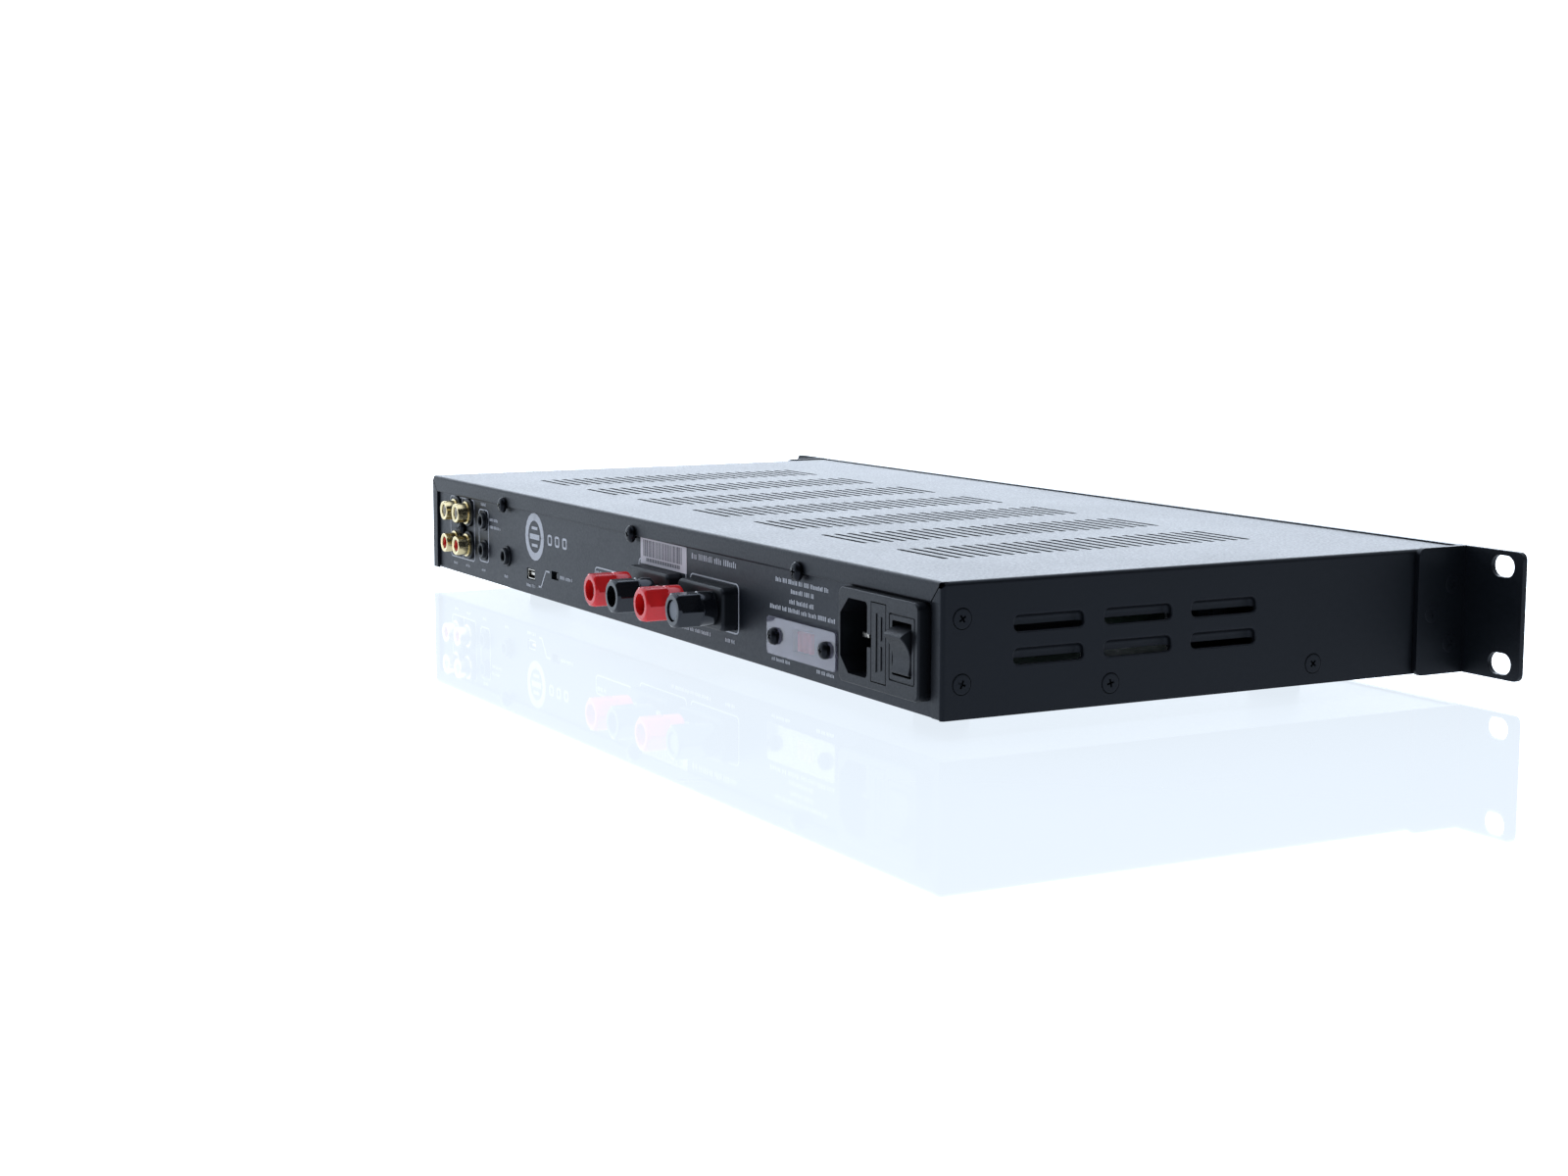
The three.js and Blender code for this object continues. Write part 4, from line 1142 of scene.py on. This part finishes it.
class MakeInlet(bpy.types.Operator):
    """The mains inlet with its blades, the fuse drawer and the power rocker"""

    bl_idname = "amplifier.inlet"
    bl_label = "Mains inlet"

    def housing(self, low, high):
        face = high.y
        bezel_back = REAR + 0.05 * MM
        piece = rounded_block("bezel", (low.x, bezel_back, low.z), high, 2.5, "y", 6)
        round_edges(piece, lambda m, d: abs(m.y - face) < 1e-6, 0.7, 3)
        neck = block("neck", (low.x + 0.6 * MM, low.y, low.z + 1.4 * MM),
                     (high.x - 0.6 * MM, bezel_back + MM, high.z - 1.4 * MM))
        carve(piece, neck, operation="UNION")
        mid = middle("inlet_housing")
        x = mid.x + 14.1 * MM
        socket = block("socket", (x - 8.2 * MM, face - 17.4 * MM, mid.z - 11.7 * MM),
                       (x + 8.2 * MM, face + MM, mid.z + 11.7 * MM))
        round_edges(socket, lambda m, d: abs(d.y) > 0.99 and m.x > x, 5, 1)
        round_edges(socket, lambda m, d: abs(d.y) > 0.99 and m.x < x, 1.5, 5)
        drawer_low, drawer_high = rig.box("fuse_drawer")
        gap = 0.3 * MM
        pocket = block("pocket", (drawer_low.x - gap, drawer_low.y - MM, drawer_low.z - gap),
                       (drawer_high.x + gap, face + MM, drawer_high.z + gap))
        notch = block("notch", (drawer_high.x - 0.2 * MM, face - 3 * MM, mid.z - 2 * MM),
                      (x - 7.6 * MM, face + MM, mid.z + 2 * MM))
        rocker = middle("power_rocker").x
        well = rounded_block(
            "well", (rocker - 5.5 * MM, face - 21 * MM, mid.z - 8.2 * MM),
            (rocker + 5.5 * MM, face + MM, mid.z + 8.2 * MM), 0.5, "y", 3)
        tools = [socket, pocket, notch, well]
        for at in (middle(f"inlet_pin_{i}") for i in (1, 2, 3)):
            tools.append(block("blade_hole", (at.x - 2.1 * MM, low.y - 9 * MM, at.z - 1.1 * MM),
                               (at.x + 2.1 * MM, REAR, at.z + 1.1 * MM)))
        groove = rounded_block(
            "groove", (rocker - 7.35 * MM, face - 0.55 * MM, mid.z - 10.2 * MM),
            (rocker + 7.35 * MM, face + MM, mid.z + 10.2 * MM), 0.6, "y", 3)
        island = rounded_block(
            "island", (rocker - 6.95 * MM, face - 2 * MM, mid.z - 9.8 * MM),
            (rocker + 6.95 * MM, face + 2 * MM, mid.z + 9.8 * MM), 0.5, "y", 3)
        tools.append(carve(groove, island))
        carve(piece, *tools)
        return piece

    def drawer(self, mid, face):
        """The drawer front with a raised symbol of two fuses, merged with its carrier."""
        low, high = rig.box("fuse_drawer")
        carrier = copy_of("fuse_drawer", "fuse_drawer_carrier")
        x = (low.x + high.x) / 2
        ribs = []
        for dx, lo, hi in ((1.3, -9, 9), (-1.6, -8.2, -0.8), (-1.6, 0.8, 8.2)):
            rib = rounded_block(
                "rib", (x + (dx - 0.35) * MM, face - 0.5 * MM, mid.z + lo * MM),
                (x + (dx + 0.35) * MM, face + 0.28 * MM, mid.z + hi * MM), 0.3, "y", 4)
            ribs.append(rib)
        return soften(carve(carrier, *ribs, operation="UNION"), 0.12, 2, 50)

    def rocker(self, tilt):
        """The rocker about its pivot, its hollow face drawn as an arc, then tilted."""
        width = middle("power_rocker")
        low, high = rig.box("power_rocker")
        half = 5.1
        arc = []
        for i in range(17):
            z = 5.7 - 11.4 * i / 16
            arc.append((6.3 - 1.8 * (1 - (z / 5.7) ** 2), z))
        outline = [(-9, -3), (-9, 3), (-3, 7.1), (3.4, 7.1), (5.6, 6.4), (6.1, 6.1), *arc,
                   (6.1, -6.1), (5.6, -6.4), (3.4, -7.1), (-3, -7.1)]
        points = [(-half * MM, y * MM, z * MM) for y, z in outline]
        piece = traced("rocker", points, 2 * half * MM, (1, 0, 0))
        pivot = rod("pivot", 1.2 * MM, (-(half + 0.8) * MM, 0, 0), ((half + 0.8) * MM, 0, 0), 20)
        carve(piece, pivot, operation="UNION")
        piece = soften(piece, 0.35, 3, 40)
        at = Vector((width.x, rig.box("inlet_housing")[1].y - 4 * MM, middle("inlet_housing").z))
        made = place_copy(piece, "power_rocker_key", at, (-math.radians(tilt), 0, 0))
        bpy.data.objects.remove(piece)
        return made

    def execute(self, context):
        low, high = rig.box("inlet_housing")
        mid = middle("inlet_housing")
        fit(smooth(soften(self.housing(low, high), 0.12, 2, 50), 35), "abs",
            "inlet_housing", "black_plastic")
        fit(smooth(self.drawer(mid, high.y), 35), "abs", "fuse_drawer", "black_plastic")
        joint = next(j for j in frame["joints"] if j["name"] == "rocker_tilt")
        tilt = (joint["range_deg"][1] - joint["range_deg"][0]) / 2
        fit(smooth(self.rocker(tilt), 30), "abs", "power_rocker", "black_plastic")
        for i in (1, 2, 3):
            blade = soften(copy_of(f"inlet_pin_{i}", f"inlet_blade_{i}"), 0.5, 3)
            fit(smooth(blade), "nickel", f"inlet_pin_{i}", "nickel")
        return {"FINISHED"}


class MakeSelector(bpy.types.Operator):
    """The mains voltage selector: case, ribbed slider and clear locking plate"""

    bl_idname = "amplifier.selector"
    bl_label = "Voltage selector"

    def execute(self, context):
        case = soften(copy_of("selector_body", "selector_case"), 0.15, 2)
        fit(smooth(case), "abs", "selector_body", "black_plastic")
        slider = soften(copy_of("selector_slider", "selector_key"), 0.18, 3)
        fit(smooth(slider), "red", "selector_slider", "red_plastic")
        low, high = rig.box("selector_cover")
        at = middle("selector_cover")
        back = high.y - 0.8 * MM
        plate = rounded_block("locking_plate", (low.x, back, low.z), high, 1.5, "y", 6)
        for side in (-1, 1):
            x = at.x + side * 17 * MM
            collar = rod("collar", 2.6 * MM, (x, low.y, at.z), (x, back + 0.1 * MM, at.z), 32)
            carve(plate, collar, operation="UNION")
            carve(plate, rod("bore", 1.6 * MM, (x, low.y - MM, at.z), (x, high.y + MM, at.z), 28))
        fit(smooth(soften(plate, 0.12, 2)), "plate", "selector_cover", "clear_plastic")
        return {"FINISHED"}


# ---- Front controls ----------------------------------------------------------------


class MakeFrontControls(bpy.types.Operator):
    """The fluted menu knob, the power button and the display window"""

    bl_idname = "amplifier.controls"
    bl_label = "Front controls"

    def execute(self, context):
        low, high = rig.box("menu_knob")
        at = middle("menu_knob")
        r = (high.x - low.x) / 2 / MM
        length_mm = (high.y - low.y) / MM
        knob = turned("knob", [(r - 0.4, 0), (r, 0.3), (r, 1.4), (r - 0.35, 1.6),
                               (r - 0.35, length_mm - 1.6), (r - 0.9, length_mm - 0.9),
                               (r - 1.6, length_mm), (r - 2.2, length_mm),
                               (r - 2.5, length_mm - 0.4)], sides=120)
        count = context.scene.amplifier_sizes.flutes
        flute = rod("flute", 0.32 * MM, ((r - 0.2) * MM, 1.8 * MM, 0),
                    ((r - 0.2) * MM, (length_mm - 1.8) * MM, 0), 10)
        flutes = []
        for i in range(count):
            flutes.append(place_copy(flute, "flute", (0, 0, 0), (0, math.tau * i / count, 0)))
        bpy.data.objects.remove(flute)
        bore = rod("bore", 3.3 * MM, (0, -MM, 0), (0, (length_mm - 3) * MM, 0), 32)
        carve(knob, joined("flutes", flutes), bore)
        made = place_copy(knob, "menu_knob_turned", (at.x, high.y, at.z), (0, 0, math.pi))
        bpy.data.objects.remove(knob)
        fit(smooth(made, 25), "anodised", "menu_knob", "panel_anodised")

        low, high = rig.box("power_button")
        at = middle("power_button")
        deep = (high.y - low.y) / MM
        r = (high.x - low.x) / 2 / MM
        button = turned("button", [(3.6, 0), (3.6, deep - 3.1), (r, deep - 3.1), (r, deep - 0.5),
                                   (r - 0.15, deep - 0.15), (r - 0.5, deep), (r - 1.4, deep),
                                   (r - 2.4, deep - 0.25), (0.3, deep - 0.45)], sides=64)
        made = place_copy(button, "power_button_cap", (at.x, high.y, at.z), (0, 0, math.pi))
        bpy.data.objects.remove(button)
        fit(smooth(made, 25), "abs", "power_button", "black_plastic")

        low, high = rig.box("display_window")
        glass = rounded_block("display_glass", low, high, 0.4, "y", 3)
        fit(smooth(soften(glass, 0.3, 3)), "window", "display_window", "window_glass")
        return {"FINISHED"}


# ---- Printing on the rear panel ----------------------------------------------------

# Outlines as (x0, x1, z0, z1) and rows of dashes as (x0, x1, middle z, height), millimetres
OUTLINES = [(164.9, 194.2, 6.8, 33.7), (148.5, 159.8, 8, 30.6), (-42.5, -2.6, 8, 26.5),
            (-83.2, -45.6, 8, 25.5), (4, 37.4, 11, 18.8)]
DASHES = [(185.5, 190.5, 4.3, 1.2), (171, 176, 4.5, 1.2), (152.8, 156.8, 4.6, 1.2),
          (127, 131, 4.7, 1.2), (151.5, 157, 32.7, 1.2), (138, 147, 26.9, 1.2),
          (135, 147, 23.8, 1.2), (97.5, 106.5, 3.9, 1.2), (59, 71.5, 10.6, 1.3),
          (-81.5, -47, 31.6, 2.1), (-145.6, -109.6, 30.4, 1.5), (-135.8, -120, 27.4, 1.5),
          (-136, -119, 24, 1.5), (-149.9, -105.7, 21.1, 1.5), (-119.3, -107, 3.7, 1.2),
          (-149.3, -137.4, 3.6, 1.2), (-62, -30, 5.4, 1.3), (-80, -73, 5.2, 1.3),
          (28, 36, 16.4, 1.6)]
LINK = [(93.8, 4.6), (91.2, 4.4), (86.2, 11.4), (82.4, 11.6)]


class MakePrinting(bpy.types.Operator):
    """Outlines, rows of dashes and plain marks printed on the rear panel, and a label"""

    bl_idname = "amplifier.printing"
    bl_label = "Printing"

    def outline(self, x0, x1, z0, z1, radius, line, lift):
        only()
        mid = at_rear((x0 + x1) / 2, (z0 + z1) / 2, lift)
        bpy.ops.mesh.primitive_plane_add(size=1, location=mid, rotation=(-math.pi / 2, 0, 0))
        piece = settled("outline", size=((x1 - x0) * MM, (z1 - z0) * MM, 1))
        with editing(piece, "VERT"):
            bpy.ops.mesh.select_all(action="SELECT")
            bpy.ops.mesh.bevel(offset=radius * MM, segments=5, affect="VERTICES")
        with editing(piece):
            bpy.ops.mesh.select_all(action="SELECT")
            bpy.ops.mesh.inset(thickness=line)
            bpy.ops.mesh.delete(type="FACE")
        return piece

    def bars(self, places, lift):
        """Plain bars (x0, x1, z0, z1) in one object."""
        only()
        flat = []
        for x0, x1, z0, z1 in places:
            mid = at_rear((x0 + x1) / 2, (z0 + z1) / 2, lift)
            bpy.ops.mesh.primitive_plane_add(size=1, location=mid, rotation=(-math.pi / 2, 0, 0))
            flat.append(settled("bar", size=((x1 - x0) * MM, (z1 - z0) * MM, 1)))
        return joined("bars", flat)

    def dashes(self, seed):
        """Rows of short dashes in uneven widths, in words, where the panel has small print."""
        draw = random.Random(seed)
        places = []
        for x0, x1, z, height in DASHES:
            x = x1
            word = draw.randint(3, 8)
            while x > x0 + 0.5:
                wide = draw.uniform(0.22, 0.5) * height
                wide = min(wide, x - x0)
                tall = height * draw.choice((0.8, 1, 1))
                places.append((x - wide, x, z - height / 2, z - height / 2 + tall))
                word -= 1
                x -= wide + 0.32 * height
                if word == 0:
                    x -= 0.5 * height
                    word = draw.randint(3, 8)
        return places

    def thicken(self, piece, ink):
        with editing(piece):
            bpy.ops.mesh.select_all(action="SELECT")
            bpy.ops.mesh.extrude_region_move(TRANSFORM_OT_translate={"value": (0, ink, 0)})
            bpy.ops.mesh.select_all(action="SELECT")
            bpy.ops.mesh.normals_make_consistent(inside=False)
        return piece

    def execute(self, context):
        sizes = context.scene.amplifier_sizes
        lift = 0.01
        flat = []
        for x0, x1, z0, z1 in OUTLINES:
            flat.append(self.outline(x0, x1, z0, z1, 2.2, sizes.line, lift))
        # a plain ring and three plain tiles stand where approval marks are printed
        ring = self.outline(87.8, 107.2, 14.6, 34, 9.6, 3.1 * MM, lift)
        flat.append(ring)
        for x in (64.5, 72, 79.5):
            flat.append(self.outline(x, x + 4.4, 22.2, 26.6, 1.2, 0.9 * MM, lift))
        bars = [(92.5, 102.5, 23.2, 25.4), (94.5, 100.5, 20.2, 21.4), (94.5, 100.5, 27.2, 28.4),
                (179.3, 179.8, 7.2, 33.3)]
        for (xa, za), (xb, zb) in zip(LINK, LINK[1:]):
            if abs(za - zb) < 1:
                bars.append((min(xa, xb), max(xa, xb), (za + zb) / 2 - 0.35, (za + zb) / 2 + 0.35))
        flat.append(self.bars(bars + self.dashes(7), lift))
        (xa, za), (xb, zb) = LINK[1], LINK[2]
        only()
        length_m = math.hypot(xa - xb, za - zb) * MM
        bpy.ops.mesh.primitive_plane_add(
            size=1, location=at_rear((xa + xb) / 2, (za + zb) / 2, lift),
            rotation=(-math.pi / 2, math.atan2(zb - za, xa - xb), 0))
        flat.append(settled("link", size=(length_m + 0.5 * MM, 0.7 * MM, 1)))
        ink = self.thicken(joined("rear_printing", flat), sizes.ink)
        fit(ink, "ink")

        only()
        paper = rounded_block("label", at_rear(-43, 24.5, 0.02), at_rear(-4.5, 34.4, 0.1), 0.4, "y", 3)
        fit(smooth(paper), "paper")
        draw = random.Random(11)
        stripes = []
        x = -7
        while x > -39.5:
            wide = draw.choice((0.25, 0.35, 0.55, 0.75))
            stripes.append((x - wide, x, 27.4, 33.4))
            x -= wide + draw.choice((0.3, 0.4, 0.6))
        x = -9.5
        while x > -37:
            stripes.append((x - 0.9, x, 25.6, 26.9))
            x -= 1.35
        marks = self.thicken(self.bars(stripes, 0.105), 0.02 * MM)
        marks.name = "label_stripes"
        fit(marks, "label_ink")
        return {"FINISHED"}


# ---- Inside ------------------------------------------------------------------------

INSIDE = {
    "board": ["power_board", "amplifier_board", "input_board", "display_board"],
    "abs": ["button_switch"],
    "nickel": ["encoder", "fuse"],
    "ferrite": ["transformer"],
    "sleeve": ["bulk_capacitor"],
    "aluminium": ["heatsink"],
}


class FinishInside(bpy.types.Operator):
    """Finishes for the boards and parts that show through the slots"""

    bl_idname = "amplifier.inside"
    bl_label = "Inside parts"

    def execute(self, context):
        for finish, nodes in INSIDE.items():
            for node in nodes:
                materials = frame["nodes"][node].data.materials
                materials.clear()
                materials.append(FINISHES[finish])
        return {"FINISHED"}


# ---- Stage -------------------------------------------------------------------------

CAMERA = (-0.78935, 0.45922, 0.13364)
CAMERA_YAW = 61.677
CAMERA_PITCH = -7.419
CAMERA_ROLL = 0.066
LENS = 54.37


def softbox(name, place, aim, size, power, tint="ffffff"):
    """A rectangular area light that faces a point."""
    data = bpy.data.lights.new(name, "AREA")
    data.shape = "RECTANGLE"
    data.size, data.size_y = size
    data.energy = power
    data.color = linear(tint)[:3]
    light = bpy.data.objects.new(name, data)
    bpy.context.scene.collection.objects.link(light)
    light.location = place
    light.rotation_euler = (Vector(aim) - Vector(place)).to_track_quat("-Z", "Y").to_euler()
    return light


class MakeStage(bpy.types.Operator):
    """A plain pale floor and backdrop, soft studio light and the camera"""

    bl_idname = "amplifier.stage"
    bl_label = "Studio"

    def wall(self, name, turn):
        """Half of a round white backdrop about the floor, facing inwards."""
        only()
        bpy.ops.mesh.primitive_circle_add(vertices=96, radius=3.39, location=(0, 0, -0.01))
        wall = settled(name)
        middle_angle = math.radians(-28) + turn
        with editing(wall, "EDGE"):
            bpy.ops.mesh.select_all(action="SELECT")
            bpy.ops.mesh.extrude_region_move(TRANSFORM_OT_translate={"value": (0, 0, 3)})
        with editing(wall, "FACE"):
            select(wall, "FACE", lambda m, d: m.x * math.cos(middle_angle)
                   + m.y * math.sin(middle_angle) < 0)
            bpy.ops.mesh.delete(type="FACE")
        material, tree, shader, place = new_finish(name, Emission_Strength=1.5)
        shader.inputs["Base Color"].default_value = linear("101010")
        shader.inputs["Emission Color"].default_value = linear("e8f3ff")
        wall.data.materials.append(material)
        return wall

    def execute(self, context):
        scene = context.scene
        scene.view_settings.view_transform = "Standard"
        only()
        bpy.ops.mesh.primitive_circle_add(vertices=96, radius=3.4, fill_type="NGON")
        floor = settled("floor")
        material, tree, shader, place = new_finish(
            "pale_floor", IOR=1.4, Roughness=0.03, Emission_Strength=1.0)
        tone = blended(tree, grain(tree, place, 400, 2), linear("63666a"), linear("6a6d70"))
        tree.links.new(tone, shader.inputs["Base Color"])
        shader.inputs["Emission Color"].default_value = linear("e2ebf4")
        floor.data.materials.append(material)
        far = self.wall("backdrop_far", 0)
        near = self.wall("backdrop_near", math.pi)
        near.visible_diffuse = near.visible_glossy = near.visible_transmission = False
        near.visible_shadow = far.visible_shadow = False
        world = bpy.data.worlds.new("studio")
        scene.world = world
        world.use_nodes = True
        ground = world.node_tree.nodes["Background"]
        ground.inputs[0].default_value = linear("eef3fa")
        ground.inputs[1].default_value = 0.06
        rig.stage(floor, far, near)
        softbox("far_wall", (1.5, -0.95, 0.7), (0, 0, 0.1), (2.3, 1.4), 30, "e8f2ff")
        softbox("overhead", (0.1, 0, 1.5), (0, 0, 0), (2.2, 1.8), 20, "e6f0ff")
        yaw, pitch = math.radians(CAMERA_YAW), math.radians(CAMERA_PITCH)
        forward = Vector((math.sin(yaw) * math.cos(pitch), -math.cos(yaw) * math.cos(pitch),
                          math.sin(pitch)))
        data = bpy.data.cameras.new("camera")
        data.lens = LENS
        data.sensor_width = 36
        data.clip_start, data.clip_end = 0.02, 50
        camera = bpy.data.objects.new("camera", data)
        scene.collection.objects.link(camera)
        turn = forward.to_track_quat("-Z", "Y").to_matrix()
        roll = Matrix.Rotation(math.radians(CAMERA_ROLL), 3, "Z")
        camera.matrix_world = Matrix.Translation(CAMERA) @ (turn @ roll).to_4x4()
        scene.camera = camera
        return {"FINISHED"}


# ---- Add-on ------------------------------------------------------------------------

MAKERS = (MakeCover, MakeTray, MakeFrontPlate, MakeEars, MakeFeet, MakeScrews,
          MakePhonoSockets, MakeJacks, MakeDataSockets, MakeTerminals, MakeInlet,
          MakeSelector, MakeFrontControls, MakePrinting, FinishInside, MakeStage)


class AmplifierPanel(bpy.types.Panel):
    """Lists the makers of each piece"""

    bl_idname = "VIEW3D_PT_amplifier"
    bl_label = "Rack amplifier"
    bl_space_type = "VIEW_3D"
    bl_region_type = "UI"
    bl_category = "Amplifier"

    def draw(self, context):
        column = self.layout.column(align=True)
        for maker in MAKERS:
            column.operator(maker.bl_idname)
        for group in (context.scene.amplifier_sizes, context.scene.amplifier_colours):
            box = self.layout.box()
            for name in type(group).__annotations__:
                box.prop(group, name)


CLASSES = (AmplifierSizes, AmplifierColours, *MAKERS, AmplifierPanel)


def register():
    for made in CLASSES:
        bpy.utils.register_class(made)
    bpy.types.Scene.amplifier_sizes = bpy.props.PointerProperty(type=AmplifierSizes)
    bpy.types.Scene.amplifier_colours = bpy.props.PointerProperty(type=AmplifierColours)


def unregister():
    del bpy.types.Scene.amplifier_colours
    del bpy.types.Scene.amplifier_sizes
    for made in reversed(CLASSES):
        bpy.utils.unregister_class(made)


def main():
    register()
    make_finishes(bpy.context.scene.amplifier_colours)
    for maker in MAKERS:
        group, name = maker.bl_idname.split(".")
        getattr(getattr(bpy.ops, group), name)()
    sizes = {
        "cad": [list(corner) for corner in CAD_BOX],
        "visual": [list(corner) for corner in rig.bounds()],
    }
    with open("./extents.json", "w") as file:
        json.dump(sizes, file)


if __name__ == "__main__":
    main()
